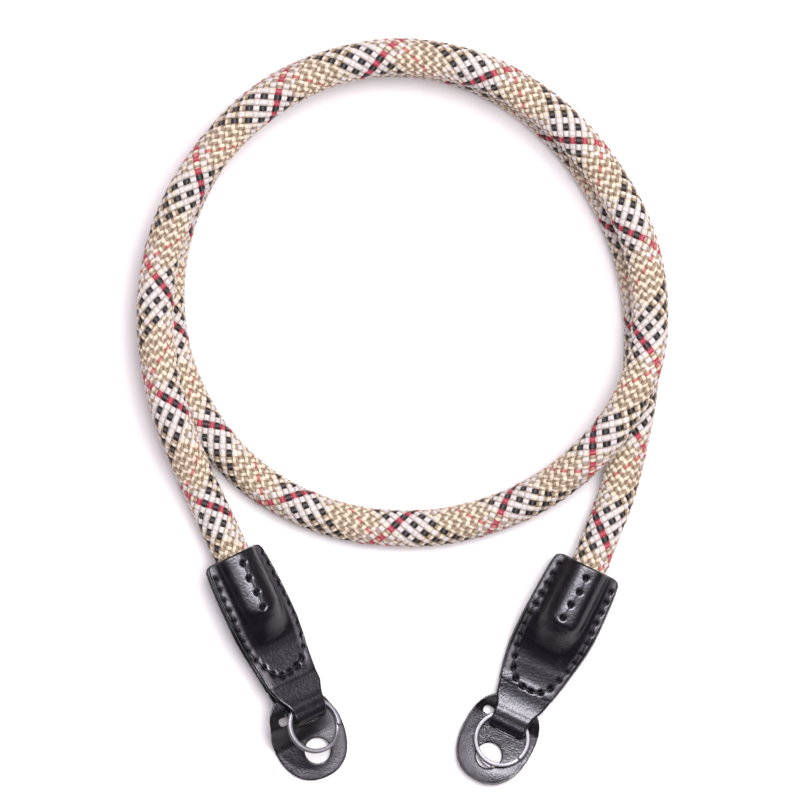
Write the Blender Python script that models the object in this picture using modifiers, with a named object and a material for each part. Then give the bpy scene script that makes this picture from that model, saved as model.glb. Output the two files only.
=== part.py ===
"""A rope camera neck strap lying on a flat surface in a loop and three quarters.

Run with: blender --background --python part.py

Lengths are in millimetres until MM turns them into metres. X runs to the right, Y from
the leather ends up to the loop, and Z up from the surface. The origin is on the surface,
midway between the two leather ends.

Each end has its own frame: t runs along the leather from its mouth, v across it, and z up.
"""

import math
from collections import namedtuple

import bmesh
import bpy
import numpy as np
from mathutils import Matrix, Vector

MM = 0.001
CLEARANCE = 0.3

# Rope: hand-picked points of its centre line, from inside the left pocket to inside the right
ROPE_DIAMETER = 11.0
ROPE_TUBE_POINTS = 80
RoutePoint = namedtuple("RoutePoint", "x y z")
ROPE_ROUTE = [
    RoutePoint(-46.4, 17.0, 7.3),
    RoutePoint(-53.9, 32.7, 7.3),
    RoutePoint(-59.3, 44.3, 7.4),
    RoutePoint(-64.9, 56.6, 9.4),
    RoutePoint(-70.3, 69.8, 14.1),
    RoutePoint(-74.4, 84.1, 16.2),
    RoutePoint(-76.8, 103.9, 16.95),
    RoutePoint(-74.0, 125.5, 16.95),
    RoutePoint(-64.9, 146.0, 16.95),
    RoutePoint(-50.0, 163.5, 16.95),
    RoutePoint(-29.9, 176.4, 16.95),
    RoutePoint(-5.4, 182.0, 16.95),
    RoutePoint(19.4, 178.0, 16.95),
    RoutePoint(41.1, 165.5, 16.95),
    RoutePoint(56.5, 148.7, 16.95),
    RoutePoint(66.6, 130.3, 16.95),
    RoutePoint(71.0, 110.4, 16.95),
    RoutePoint(69.6, 90.8, 16.95),
    RoutePoint(62.8, 75.1, 16.5),
    RoutePoint(52.8, 62.8, 13.4),
    RoutePoint(40.7, 53.0, 8.4),
    RoutePoint(25.7, 45.6, 6.0),
    RoutePoint(5.9, 41.1, 5.55),
    RoutePoint(-19.2, 42.7, 5.55),
    RoutePoint(-43.4, 53.0, 5.55),
    RoutePoint(-60.5, 69.7, 5.55),
    RoutePoint(-70.9, 90.9, 5.55),
    RoutePoint(-73.7, 113.0, 5.55),
    RoutePoint(-69.3, 135.9, 5.55),
    RoutePoint(-57.3, 157.0, 5.55),
    RoutePoint(-37.8, 173.4, 5.55),
    RoutePoint(-13.8, 181.4, 5.55),
    RoutePoint(11.2, 179.8, 5.55),
    RoutePoint(32.6, 170.0, 5.55),
    RoutePoint(48.9, 155.0, 5.55),
    RoutePoint(59.7, 138.3, 5.55),
    RoutePoint(66.6, 120.3, 5.55),
    RoutePoint(69.2, 102.9, 5.55),
    RoutePoint(67.9, 79.1, 5.55),
    RoutePoint(65.6, 67.4, 5.55),
    RoutePoint(61.9, 52.4, 6.0),
    RoutePoint(56.7, 38.6, 7.05),
    RoutePoint(53.1, 29.5, 7.3),
    RoutePoint(45.4, 13.8, 7.3),
]

# Leather end: one strip of leather, over the rope, round the ring and back underneath
LEATHER = 1.4
ROPE_HEIGHT = ROPE_ROUTE[0].z
POCKET_END = 18.5  # the bulge over the rope is whole up to here
BULGE_END = 29.0  # and has faded out here
SEAM_END = 42.0  # the bottom of the U of stitches
NECK_START = 44.6  # where the layers are far enough apart to hold the pad's top strip
NECK_HEIGHT = 2.5
LAYER_OFFSET = (LEATHER + CLEARANCE) / 2
BULGE_RADIUS = ROPE_DIAMETER / 2 + CLEARANCE + LEATHER / 2
BULGE_FILLET = 1.5
MOUTH_CORNER = 2.0
BACK_OVERHANG = 0.3
STRIP_COLUMNS = 20
LOOP_ROWS = 22
WidthRow = namedtuple("WidthRow", "t left right")
STRIP_HALF_WIDTHS = [
    WidthRow(0.0, left=9.5, right=10.3),
    WidthRow(4.0, left=10.0, right=10.85),
    WidthRow(7.0, left=10.25, right=11.1),
    WidthRow(13.0, left=10.5, right=11.35),
    WidthRow(20.0, left=10.5, right=11.5),
    WidthRow(24.6, left=10.4, right=11.3),
    WidthRow(30.3, left=9.8, right=10.75),
    WidthRow(35.5, left=9.0, right=9.9),
    WidthRow(40.5, left=8.5, right=8.8),
    WidthRow(43.0, left=8.2, right=8.25),
    WidthRow(45.0, left=7.8, right=7.8),
    WidthRow(46.0, left=7.4, right=7.5),
    WidthRow(47.0, left=6.9, right=7.0),
    WidthRow(48.0, left=6.4, right=6.5),
    WidthRow(49.0, left=6.0, right=6.1),
    WidthRow(50.5, left=5.7, right=5.8),
    WidthRow(53.0, left=5.5, right=5.6),
    WidthRow(56.0, left=5.4, right=5.5),
]
# The loop's centre line, as heights over the middle of the neck: over the ring, down and back
LoopRow = namedtuple("LoopRow", "t rise")
RING_LOOP = [
    LoopRow(42.0, 0.85),
    LoopRow(44.6, 1.75),
    LoopRow(47.3, 2.2),
    LoopRow(50.3, 3.1),
    LoopRow(52.8, 2.8),
    LoopRow(54.4, 2.0),
    LoopRow(55.05, 0.8),
    LoopRow(55.05, -0.5),
    LoopRow(54.5, -1.4),
    LoopRow(53.2, -1.75),
    LoopRow(49.0, -1.75),
    LoopRow(44.6, -1.75),
    LoopRow(42.0, -0.85),
]

# Split ring: two turns of flattened wire, one over the other
RING_RADIUS = 7.83
WIRE_WIDTH = 1.25
WIRE_HEIGHT = 0.85
TURN_GAP = 0.15
RING_START_DEG = -6  # from the ring's far side, positive towards -v
RING_SWEEP_DEG = 660
DOGLEG_DEG = (300, 360)
FLARE_DEG = 55
RING_STEP_DEG = 10
RING_RISE = 0.5  # the ring's middle over the neck's

# Protector pad, drawn in its own frame: a runs down the pad from its round hole, b across it
PAD_THICKNESS = 1.5
PAD_HALF_WIDTH = 11.15
PAD_MIDDLE = -6.0
PadHalf = namedtuple("PadHalf", "reach exponent")
PAD_UPPER = PadHalf(reach=13.4, exponent=2.5)
PAD_LOWER = PadHalf(reach=14.3, exponent=2.3)
PAD_POINTS = 56
LUG_HOLE_RADIUS = 3.9
SMALL_HOLE_RADIUS = 1.35
SMALL_HOLE_A = -12.0
SMALL_HOLE_B = 7.0
SLIT_HALF_WIDTH = 6.8
SLIT_SHIFT = 0.5
SLIT_BOTTOM = -8.1
SLIT_ROUNDNESS = 6.0
SLIT_POINTS = 48
PAD_DROP = 3.8  # the pad falls clear of the ring over this length
PAD_BEND_STEP = 0.9

End = namedtuple(
    "End",
    "side mouth heading roll neck_lift sway loop_shift ring_t ring_v flare hole_t hole_v pad_turn pad_shift",
)
ENDS = [
    End(
        side="left",
        mouth=(-53.95, 32.75),
        heading=-64.3,
        roll=24.0,
        neck_lift=3.2,
        sway=-0.3,
        loop_shift=-0.8,
        ring_t=56.65,
        ring_v=-0.1,
        flare=0.0,
        hole_t=64.1,
        hole_v=-2.4,
        pad_turn=-3.4,
        pad_shift=-0.95,
    ),
    End(
        side="right",
        mouth=(53.12, 29.48),
        heading=-116.2,
        roll=0.0,
        neck_lift=0.0,
        sway=-0.6,
        loop_shift=0.15,
        ring_t=58.15,
        ring_v=-0.4,
        flare=1.2,
        hole_t=64.4,
        hole_v=-1.7,
        pad_turn=-2.8,
        pad_shift=-0.2,
    ),
]


def clear_scene():
    for obj in list(bpy.data.objects):
        bpy.data.objects.remove(obj, do_unlink=True)


def new_collection(name):
    collection = bpy.data.collections.new(name)
    bpy.context.scene.collection.children.link(collection)
    return collection


def new_material(name, colour, roughness, metallic=0.0):
    material = bpy.data.materials.new(name)
    material.use_nodes = True
    shader = material.node_tree.nodes["Principled BSDF"]
    shader.inputs["Base Color"].default_value = (*colour, 1.0)
    shader.inputs["Roughness"].default_value = roughness
    shader.inputs["Metallic"].default_value = metallic
    return material


def smoothstep(x):
    x = min(max(x, 0.0), 1.0)
    return x * x * (3 - 2 * x)


def smooth_curve(points, count):
    """`count` points spaced evenly along the centripetal Catmull-Rom curve through `points`."""
    knots = np.array(points, float)
    knots = np.vstack([2 * knots[0] - knots[1], knots, 2 * knots[-1] - knots[-2]])
    steps = np.sqrt(np.linalg.norm(np.diff(knots, axis=0), axis=1))
    u = np.linspace(0, 1, 24, endpoint=False)[:, None]
    pieces = []
    for i in range(1, len(knots) - 2):
        before, start, end, after = knots[i - 1 : i + 3]
        d0, d1, d2 = steps[i - 1 : i + 2]
        leave = d1 * ((start - before) / d0 - (end - before) / (d0 + d1)) + (end - start)
        arrive = d1 * ((after - end) / d2 - (after - start) / (d1 + d2)) + (end - start)
        pieces.append(
            (2 * u**3 - 3 * u**2 + 1) * start
            + (u**3 - 2 * u**2 + u) * leave
            + (3 * u**2 - 2 * u**3) * end
            + (u**3 - u**2) * arrive
        )
    curve = np.vstack([*pieces, knots[-2:-1]])
    along = np.r_[0, np.cumsum(np.linalg.norm(np.diff(curve, axis=0), axis=1))]
    even = np.linspace(0, along[-1], count)
    return np.stack([np.interp(even, along, column) for column in curve.T], axis=1)


def end_matrix(end):
    """The matrix from an end's own (t, v, z) to the strap's (x, y, z)."""
    turn = Matrix.Rotation(math.radians(end.heading), 4, "Z")
    return Matrix.Translation((*end.mouth, 0)) @ turn


def neck_height(end):
    return NECK_HEIGHT + end.neck_lift


def spine_height(end, t):
    """Height of the middle between the layers: level along the rope, then down to the neck."""
    fall = smoothstep((t - POCKET_END) / (NECK_START - POCKET_END))
    return ROPE_HEIGHT + (neck_height(end) - ROPE_HEIGHT) * fall


def rolled(end, t, v, rise):
    """A point of the leather's cross-section, turned about the middle of the strip."""
    angle = math.radians(end.roll)
    v += end.sway * smoothstep((t - POCKET_END + 3) / 20)
    return Vector(
        (
            t,
            v * math.cos(angle) + rise * math.sin(angle),
            spine_height(end, t) - v * math.sin(angle) + rise * math.cos(angle),
        )
    )


def strip_half_width(end, t):
    """Half the strip's width at t, with the mouth's corners rounded off."""
    rows = STRIP_HALF_WIDTHS
    width = float(np.interp(t, [row.t for row in rows], [getattr(row, end.side) for row in rows]))
    if t < MOUTH_CORNER:
        width -= MOUTH_CORNER - math.sqrt(MOUTH_CORNER**2 - (MOUTH_CORNER - t) ** 2)
    return width


def bulge_section(share, half_width):
    """(v, rise) at this share of the way from the crown of the bulge out to the strip's edge.

    The section is an arc round the rope, then a fillet, then the flat margin.
    """
    drop = LAYER_OFFSET + BULGE_FILLET
    lean = math.asin(drop / (BULGE_RADIUS + BULGE_FILLET))
    margin_start = (BULGE_RADIUS + BULGE_FILLET) * math.cos(lean)
    turn = math.pi / 2 - lean
    lengths = (BULGE_RADIUS * turn, BULGE_FILLET * turn, half_width - margin_start)
    s = share * sum(lengths)
    if s < lengths[0]:
        angle = s / BULGE_RADIUS
        return BULGE_RADIUS * math.sin(angle), BULGE_RADIUS * math.cos(angle)
    s -= lengths[0]
    if s < lengths[1]:
        angle = turn - s / BULGE_FILLET
        return margin_start - BULGE_FILLET * math.sin(angle), drop - BULGE_FILLET * math.cos(angle)
    return margin_start + s - lengths[1], LAYER_OFFSET


def strip_rows():
    """(t, rise, face) along the strip: front from the mouth, round the ring, back to the mouth."""
    corner = [MOUTH_CORNER * (1 - math.cos(math.radians(a))) for a in (0, 35, 65, 90)]
    layer = corner + list(np.linspace(MOUTH_CORNER, SEAM_END, 14)[1:-1])
    loop = smooth_curve([(row.t, row.rise) for row in RING_LOOP], LOOP_ROWS)
    front = [(t, LAYER_OFFSET, 1) for t in layer]
    back = [(t, -LAYER_OFFSET, -1) for t in reversed(layer)]
    return front + [(t, rise, 0) for t, rise in loop] + back


def strip_point(end, row, q):
    """The point of the strip's middle surface in this row, at q from -1 to 1 across it."""
    t, rise, face = row
    if t > SEAM_END:
        t += end.loop_shift * smoothstep((t - SEAM_END) / (RING_LOOP[2].t - SEAM_END))
    half_width = strip_half_width(end, t) + (BACK_OVERHANG if face < 0 else 0)
    v = q * half_width
    bulge = 1 - smoothstep((t - POCKET_END) / (BULGE_END - POCKET_END)) if face else 0
    if bulge:
        arch_v, arch_rise = bulge_section(abs(q), half_width)
        v += (math.copysign(arch_v, q) - v) * bulge
        rise += face * (arch_rise - LAYER_OFFSET) * bulge
    return rolled(end, t, v, rise)


def add_leather_end(end, collection, material):
    rows = strip_rows()
    shape = bmesh.new()
    bmesh.ops.create_grid(shape, x_segments=STRIP_COLUMNS, y_segments=len(rows) - 1, size=1)
    place = end_matrix(end)
    for vertex in shape.verts:
        row = rows[round((vertex.co.y + 1) / 2 * (len(rows) - 1))]
        vertex.co = place @ strip_point(end, row, vertex.co.x) * MM
    mesh = bpy.data.meshes.new(f"{end.side}_leather_end")
    shape.to_mesh(mesh)
    shape.free()
    mesh.shade_smooth()
    mesh.materials.append(material)
    leather = bpy.data.objects.new(mesh.name, mesh)
    collection.objects.link(leather)
    wall = leather.modifiers.new("wall", "SOLIDIFY")
    wall.thickness = LEATHER * MM
    wall.offset = 0
    wall.use_even_offset = True


def add_tube(name, points, collection, material, **settings):
    """A curve object through the points, with filled caps."""
    curve = bpy.data.curves.new(name, "CURVE")
    curve.dimensions = "3D"
    curve.use_fill_caps = True
    for key, value in settings.items():
        setattr(curve, key, value)
    spline = curve.splines.new("POLY")
    spline.points.add(len(points) - 1)
    spline.use_smooth = True
    for target, point in zip(spline.points, points):
        target.co = (*(Vector(point) * MM), 1)
    curve.materials.append(material)
    tube = bpy.data.objects.new(name, curve)
    collection.objects.link(tube)
    return tube


def add_rope(collection, material):
    add_tube(
        "rope",
        smooth_curve(ROPE_ROUTE, ROPE_TUBE_POINTS),
        collection,
        material,
        bevel_depth=ROPE_DIAMETER / 2 * MM,
        bevel_resolution=2,
    )


def add_wire_profile(collection):
    """The flattened section of the ring's wire, as a closed outline that the ring is swept with."""
    curve = bpy.data.curves.new("wire_profile", "CURVE")
    curve.dimensions = "2D"
    spline = curve.splines.new("POLY")
    spline.points.add(7)
    for index, target in enumerate(spline.points):
        angle = math.radians(22.5 - 45 * index)
        x = WIRE_WIDTH / 2 * math.cos(angle) / math.cos(math.radians(22.5))
        y = WIRE_HEIGHT / 2 * math.sin(angle) / math.cos(math.radians(22.5))
        target.co = (x * MM, y * MM, 0, 1)
    spline.use_cyclic_u = True
    profile = bpy.data.objects.new("wire_profile", curve)
    profile.hide_render = True
    profile.display_type = "WIRE"
    collection.objects.link(profile)
    return profile


def ring_path(end):
    """The wire's centre line: a lower turn, a short climb and an upper turn.

    The lower turn starts a little outside the upper one and is under it after FLARE_DEG.
    """
    tilt = Matrix.Rotation(-math.radians(end.roll), 3, "X")
    spine = Vector((end.ring_t, end.ring_v, neck_height(end)))
    points = []
    for degrees in np.arange(0, RING_SWEEP_DEG + 1, RING_STEP_DEG):
        flare = end.flare * (1 - smoothstep(degrees / FLARE_DEG))
        radius = RING_RADIUS + flare
        climb = smoothstep((degrees - DOGLEG_DEG[0]) / (DOGLEG_DEG[1] - DOGLEG_DEG[0]))
        rise = RING_RISE + (climb - 0.5) * (WIRE_HEIGHT + TURN_GAP)
        angle = math.radians(RING_START_DEG + degrees)
        offset = Vector((radius * math.cos(angle), -radius * math.sin(angle), rise))
        points.append(end_matrix(end) @ (spine + tilt @ offset))
    return points


def add_split_ring(end, collection, material, profile):
    add_tube(
        f"{end.side}_split_ring",
        ring_path(end),
        collection,
        material,
        bevel_mode="OBJECT",
        bevel_object=profile,
        twist_mode="Z_UP",
    )


def superellipse(cos, sin, semi_a, semi_b, exponent):
    """Distance from the centre to the outline |a/semi_a|^n + |b/semi_b|^n = 1."""
    return (abs(cos / semi_a) ** exponent + abs(sin / semi_b) ** exponent) ** (-1 / exponent)


def pad_outline(end):
    points = []
    for angle in np.linspace(0, 2 * math.pi, PAD_POINTS, endpoint=False):
        cos, sin = math.cos(angle), math.sin(angle)
        half = PAD_LOWER if cos > 0 else PAD_UPPER
        reach = superellipse(cos, sin, half.reach, PAD_HALF_WIDTH, half.exponent)
        points.append((PAD_MIDDLE + reach * cos, end.pad_shift + reach * sin))
    return points


def lug_hole_outline():
    angles = np.linspace(0, 2 * math.pi, 24, endpoint=False)
    return [(LUG_HOLE_RADIUS * math.cos(a), LUG_HOLE_RADIUS * math.sin(a)) for a in angles]


def slit_top(end):
    """Where the slit's upper lip lies in the pad's frame, just clear of the ring."""
    return end.ring_t - RING_RADIUS - WIRE_WIDTH / 2 - 1.2 * CLEARANCE - end.hole_t


def slit_outline(end):
    """The slit, held open by the leather in it, with a small round hole at each end."""
    middle = (slit_top(end) + SLIT_BOTTOM) / 2
    half_height = (SLIT_BOTTOM - slit_top(end)) / 2
    points = []
    for angle in np.linspace(0, 2 * math.pi, SLIT_POINTS, endpoint=False):
        cos, sin = math.cos(angle), math.sin(angle)
        reach = superellipse(cos, sin, half_height, SLIT_HALF_WIDTH, SLIT_ROUNDNESS)
        for hole_b in (-SMALL_HOLE_B, SMALL_HOLE_B):
            to_hole = (SMALL_HOLE_A - middle, hole_b - SLIT_SHIFT)
            along = to_hole[0] * cos + to_hole[1] * sin
            aside = to_hole[1] * cos - to_hole[0] * sin
            if along > 0 and abs(aside) < SMALL_HOLE_RADIUS:
                reach = max(reach, along + math.sqrt(SMALL_HOLE_RADIUS**2 - aside**2))
        points.append((middle + reach * cos, SLIT_SHIFT + reach * sin))
    return points


def flat_pad(end):
    """The pad as a flat mesh in its own frame, from a filled curve with two holes."""
    curve = bpy.data.curves.new("pad_outline", "CURVE")
    curve.dimensions = "2D"
    curve.fill_mode = "BOTH"
    curve.extrude = PAD_THICKNESS / 2
    for outline in (pad_outline(end), lug_hole_outline(), slit_outline(end)):
        spline = curve.splines.new("POLY")
        spline.points.add(len(outline) - 1)
        for target, (a, b) in zip(spline.points, outline):
            target.co = (a, b, 0, 1)
        spline.use_cyclic_u = True
    guide = bpy.data.objects.new("pad_outline", curve)
    bpy.context.scene.collection.objects.link(guide)
    graph = bpy.context.evaluated_depsgraph_get()
    shape = bmesh.new()
    evaluated = guide.evaluated_get(graph)
    shape.from_mesh(evaluated.to_mesh())
    evaluated.to_mesh_clear()
    bpy.data.objects.remove(guide, do_unlink=True)
    bmesh.ops.remove_doubles(shape, verts=shape.verts, dist=0.001)
    return shape


def bent(end, t, v, z, lip):
    """A point of the flat pad, raised to the neck above the slit and settling below it."""
    foot = lip + PAD_DROP
    strip = (NECK_HEIGHT - PAD_THICKNESS / 2) * (1 - smoothstep((t - lip) / PAD_DROP))
    share = 1 - smoothstep((t - foot) / (end.hole_t - foot)) if end.roll else 0
    roll = math.radians(end.roll) * share
    rise = strip + max(end.neck_lift * share - v * math.sin(roll), 0)
    return Vector((t, v * math.cos(roll), PAD_THICKNESS / 2 + rise + z))


def add_pad(end, collection, material):
    """The pad, bent up from the surface to its top strip between the two leather layers."""
    shape = flat_pad(end)
    onto_end = Matrix.Translation((end.hole_t, end.hole_v, 0)) @ Matrix.Rotation(
        math.radians(end.pad_turn), 4, "Z"
    )
    shape.transform(onto_end)
    lip = end.hole_t + slit_top(end)
    settled = end.hole_t if end.roll else lip + PAD_DROP
    for t in np.arange(lip, settled + PAD_BEND_STEP, PAD_BEND_STEP):
        bmesh.ops.bisect_plane(
            shape,
            geom=[*shape.verts, *shape.edges, *shape.faces],
            plane_co=(t, 0, 0),
            plane_no=(1, 0, 0),
            dist=1e-5,
        )
    place = end_matrix(end)
    for vertex in shape.verts:
        vertex.co = place @ bent(end, *vertex.co, lip) * MM
    mesh = bpy.data.meshes.new(f"{end.side}_protector_pad")
    bmesh.ops.triangulate(shape, faces=shape.faces)
    shape.to_mesh(mesh)
    shape.free()
    mesh.materials.append(material)
    collection.objects.link(bpy.data.objects.new(mesh.name, mesh))


def main():
    clear_scene()
    parts = new_collection("camera_neck_strap")
    guides = new_collection("guides")
    braid = new_material("cream_braid", (0.74, 0.64, 0.49), 0.85)
    black_leather = new_material("black_leather", (0.018, 0.017, 0.02), 0.42)
    pad_leather = new_material("pad_leather", (0.035, 0.032, 0.036), 0.55)
    steel = new_material("satin_steel", (0.62, 0.61, 0.6), 0.3, metallic=1.0)
    add_rope(parts, braid)
    profile = add_wire_profile(guides)
    for end in ENDS:
        add_leather_end(end, parts, black_leather)
        add_split_ring(end, parts, steel, profile)
        add_pad(end, parts, pad_leather)


main()
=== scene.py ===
# %% [markdown]
# # A rope camera neck strap, laid flat
#
# The strap is one length of braided rope with a sewn leather pocket at each end. Each pocket's
# leather runs on round a small split ring and back under itself, and a flat oval pad, which keeps
# the metal off the camera, is threaded on it by a slit. The strap lies on a white table in a loop
# and three quarters and is seen straight from above. The plain solids are already packed as a
# fixed frame, so everything below is a finer surface that stands in the same place.

# %% Load the frame
import math
from collections import namedtuple

import bmesh
import bpy
import numpy as np
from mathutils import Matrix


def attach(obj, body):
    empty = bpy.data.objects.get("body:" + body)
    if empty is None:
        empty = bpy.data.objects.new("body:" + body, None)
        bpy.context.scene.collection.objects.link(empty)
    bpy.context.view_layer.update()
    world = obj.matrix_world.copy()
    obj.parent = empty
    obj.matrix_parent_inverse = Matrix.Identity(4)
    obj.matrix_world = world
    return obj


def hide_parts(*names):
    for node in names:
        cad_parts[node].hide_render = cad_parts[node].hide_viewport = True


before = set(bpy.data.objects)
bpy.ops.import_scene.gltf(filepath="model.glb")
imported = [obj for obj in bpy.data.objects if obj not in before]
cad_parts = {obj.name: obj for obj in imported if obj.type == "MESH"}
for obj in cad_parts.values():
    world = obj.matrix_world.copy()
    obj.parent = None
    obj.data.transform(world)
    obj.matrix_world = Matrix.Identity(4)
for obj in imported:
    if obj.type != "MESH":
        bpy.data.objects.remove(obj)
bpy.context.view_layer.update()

MM = 0.001

# %% [markdown]
# ## Nodes for the finishes
#
# Every finish here is a Principled shader fed by a few noises and sums. These helpers make a node
# in one call, with each input either set to a value or linked from another node.

# %% Nodes for the finishes
def new_material(name):
    """(material, node tree, Principled shader) of a new node material."""
    material = bpy.data.materials.new(name)
    material.use_nodes = True
    tree = material.node_tree
    return material, tree, tree.nodes["Principled BSDF"]


def set_inputs(tree, made, inputs):
    """Set or link inputs of a node, which are given by name or number."""
    for key, value in dict(inputs).items():
        if isinstance(value, bpy.types.NodeSocket):
            tree.links.new(value, made.inputs[key])
        else:
            made.inputs[key].default_value = value
    return made


def node(tree, kind, inputs=(), **settings):
    """A new node with its settings, and with some of its inputs set or linked."""
    made = tree.nodes.new(kind)
    for key, value in settings.items():
        setattr(made, key, value)
    return set_inputs(tree, made, inputs)


def math_node(tree, operation, *values):
    return node(tree, "ShaderNodeMath", dict(enumerate(values)), operation=operation).outputs[0]


def times(tree, first, *others):
    """The product of any number of sockets or values."""
    for other in others:
        first = math_node(tree, "MULTIPLY", first, other)
    return first


def plus(tree, first, *others):
    """The sum of any number of sockets or values."""
    for other in others:
        first = math_node(tree, "ADD", first, other)
    return first


def remap(tree, value, low, high, to_low=0.0, to_high=1.0):
    """A straight line from `to_low` at `low` to `to_high` at `high`, and flat outside them."""
    return node(tree, "ShaderNodeMapRange", {0: value, 1: low, 2: high, 3: to_low, 4: to_high}).outputs[0]


def mix_colour(tree, share, first, second, blend="MIX"):
    """The first colour where `share` is 0 and the second where it is 1."""
    inputs = {0: share, 6: first, 7: second}
    return node(tree, "ShaderNodeMix", inputs, data_type="RGBA", blend_type=blend).outputs[2]


def noise(tree, place, scale, detail=2.0, distortion=0.0):
    """A soft noise round 1/2, with about `scale` spots to a metre."""
    inputs = {"Vector": place, "Scale": scale, "Detail": detail, "Distortion": distortion}
    return node(tree, "ShaderNodeTexNoise", inputs).outputs["Fac"]


def bumped(tree, height, strength, distance):
    """The surface's direction, tipped by a height that counts for `distance` metres."""
    inputs = {"Height": height, "Strength": strength, "Distance": distance}
    return node(tree, "ShaderNodeBump", inputs).outputs[0]


def attribute(tree, name):
    """A value that the mesh carries at its points."""
    return node(tree, "ShaderNodeAttribute", attribute_name=name).outputs["Fac"]


def object_place(tree):
    return node(tree, "ShaderNodeTexCoord").outputs["Object"]


print("node helpers ready")

# %% [markdown]
# ## The camera and the table
#
# The picture is taken from straight above with a long lens, so the rope hardly grows towards the
# camera where it lies on itself. The table is a plain white sheet.

# %% The camera and the table
VIEW_CENTRE = (-3.55, 79.4, 8.0)
VIEW_WIDTH = 240.0
VIEW_DISTANCE = 2500.0
SENSOR = 36.0
TABLE_SIZE = 6.0
TABLE_WHITE = (0.9, 0.9, 0.9, 1)


def new_camera():
    """A camera over the strap: the lens is the sensor's width times distance over view width."""
    data = bpy.data.cameras.new("camera")
    data.sensor_width = SENSOR
    data.lens = SENSOR * VIEW_DISTANCE / VIEW_WIDTH
    data.clip_start, data.clip_end = 0.1, 20.0
    camera = bpy.data.objects.new("camera", data)
    x, y, z = VIEW_CENTRE
    camera.location = (x * MM, y * MM, (z + VIEW_DISTANCE) * MM)
    bpy.context.scene.collection.objects.link(camera)
    bpy.context.scene.camera = camera


def new_table():
    bpy.ops.mesh.primitive_plane_add(size=TABLE_SIZE, location=(0, 0, 0))
    table = bpy.context.object
    table.name = "table"
    paint, tree, shader = new_material("white_table")
    set_inputs(tree, shader, {"Base Color": TABLE_WHITE, "Roughness": 0.9, "Specular IOR Level": 0.1})
    table.data.materials.append(paint)


new_camera()
new_table()
bpy.context.scene.view_settings.view_transform = "Standard"
print("view", VIEW_WIDTH, "mm wide from", VIEW_DISTANCE, "mm up")

# %% [markdown]
# ## The lights
#
# One soft panel, near overhead and a little to the upper right, lights what is matt and throws the
# pale shadow to the lower left. Black leather has almost no colour of its own, so it looks like
# what it reflects, and one big panel would turn all of it grey. Gloss is therefore lit by two
# narrow strips instead, which leave a bright line on each bulge and black beside it. The sky
# fills the shadow in. It is bright low down and dark overhead, and gloss doesn't see it.

# %% The lights
STRIP_COLOUR = (0.99, 0.96, 1.07)
Panel = namedtuple("Panel", "name place size power colour lights_matt lights_gloss")
PANELS = [
    Panel("key", (0.62, 0.66, 3.38), (2.4, 2.4), 190.0, (1.0, 0.97, 1.0), True, False),
    Panel("strip", (0.1, 1.15, 3.25), (2.3, 0.85), 200.0, STRIP_COLOUR, False, True),
    Panel("wide strip", (0.1, 1.25, 3.4), (3.6, 0.85), 90.0, STRIP_COLOUR, False, True),
]
SKY_COLOUR = (1.0, 0.77, 0.95, 1)
SKY_LOW = 1.15
SKY_HIGH = 0.05
SKY_FADE = 0.75


def new_panel(panel):
    """An area light that faces the middle of the strap."""
    data = bpy.data.lights.new(panel.name, "AREA")
    data.shape = "RECTANGLE"
    data.size, data.size_y = panel.size
    data.energy = panel.power
    data.color = panel.colour
    light = bpy.data.objects.new(panel.name, data)
    light.location = panel.place
    light.visible_diffuse, light.visible_glossy = panel.lights_matt, panel.lights_gloss
    aim = light.location.copy()
    aim.y -= VIEW_CENTRE[1] * MM
    light.rotation_euler = aim.to_track_quat("Z", "Y").to_euler()
    bpy.context.scene.collection.objects.link(light)


def new_sky():
    """A sky whose strength falls in a line with the height that is looked at."""
    sky = bpy.data.worlds.new("studio")
    bpy.context.scene.world = sky
    sky.cycles_visibility.glossy = False
    sky.use_nodes = True
    tree = sky.node_tree
    looked_at = node(tree, "ShaderNodeTexCoord").outputs["Generated"]
    height = node(tree, "ShaderNodeSeparateXYZ", {0: looked_at}).outputs["Z"]
    strength = remap(tree, height, 0.0, SKY_FADE, SKY_LOW, SKY_HIGH)
    set_inputs(tree, tree.nodes["Background"], {"Color": SKY_COLOUR, "Strength": strength})


for panel in PANELS:
    new_panel(panel)
new_sky()
print("lights", [panel.name for panel in PANELS])

# %% [markdown]
# ## Curves and meshes
#
# Every surface here is a numpy array of points in millimetres, worked out whole. These few
# helpers name the columns of a typed table, draw a smooth curve through given points and
# turn an array into a mesh with its place in its points, so each object stays at the origin,
# unturned and unscaled. A tube of rings is the commonest shape, and fans close its two ends.

# %% Curves
CURVE_STEPS = 24


def table_of(row_type, rows):
    """A table typed in as plain rows, each given the names of its columns."""
    return [row_type(*row) for row in rows]


def smoothstep(x):
    """3x^2 - 2x^3 for x from 0 to 1, and flat on both sides."""
    x = np.clip(x, 0.0, 1.0)
    return x * x * (3 - 2 * x)


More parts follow.
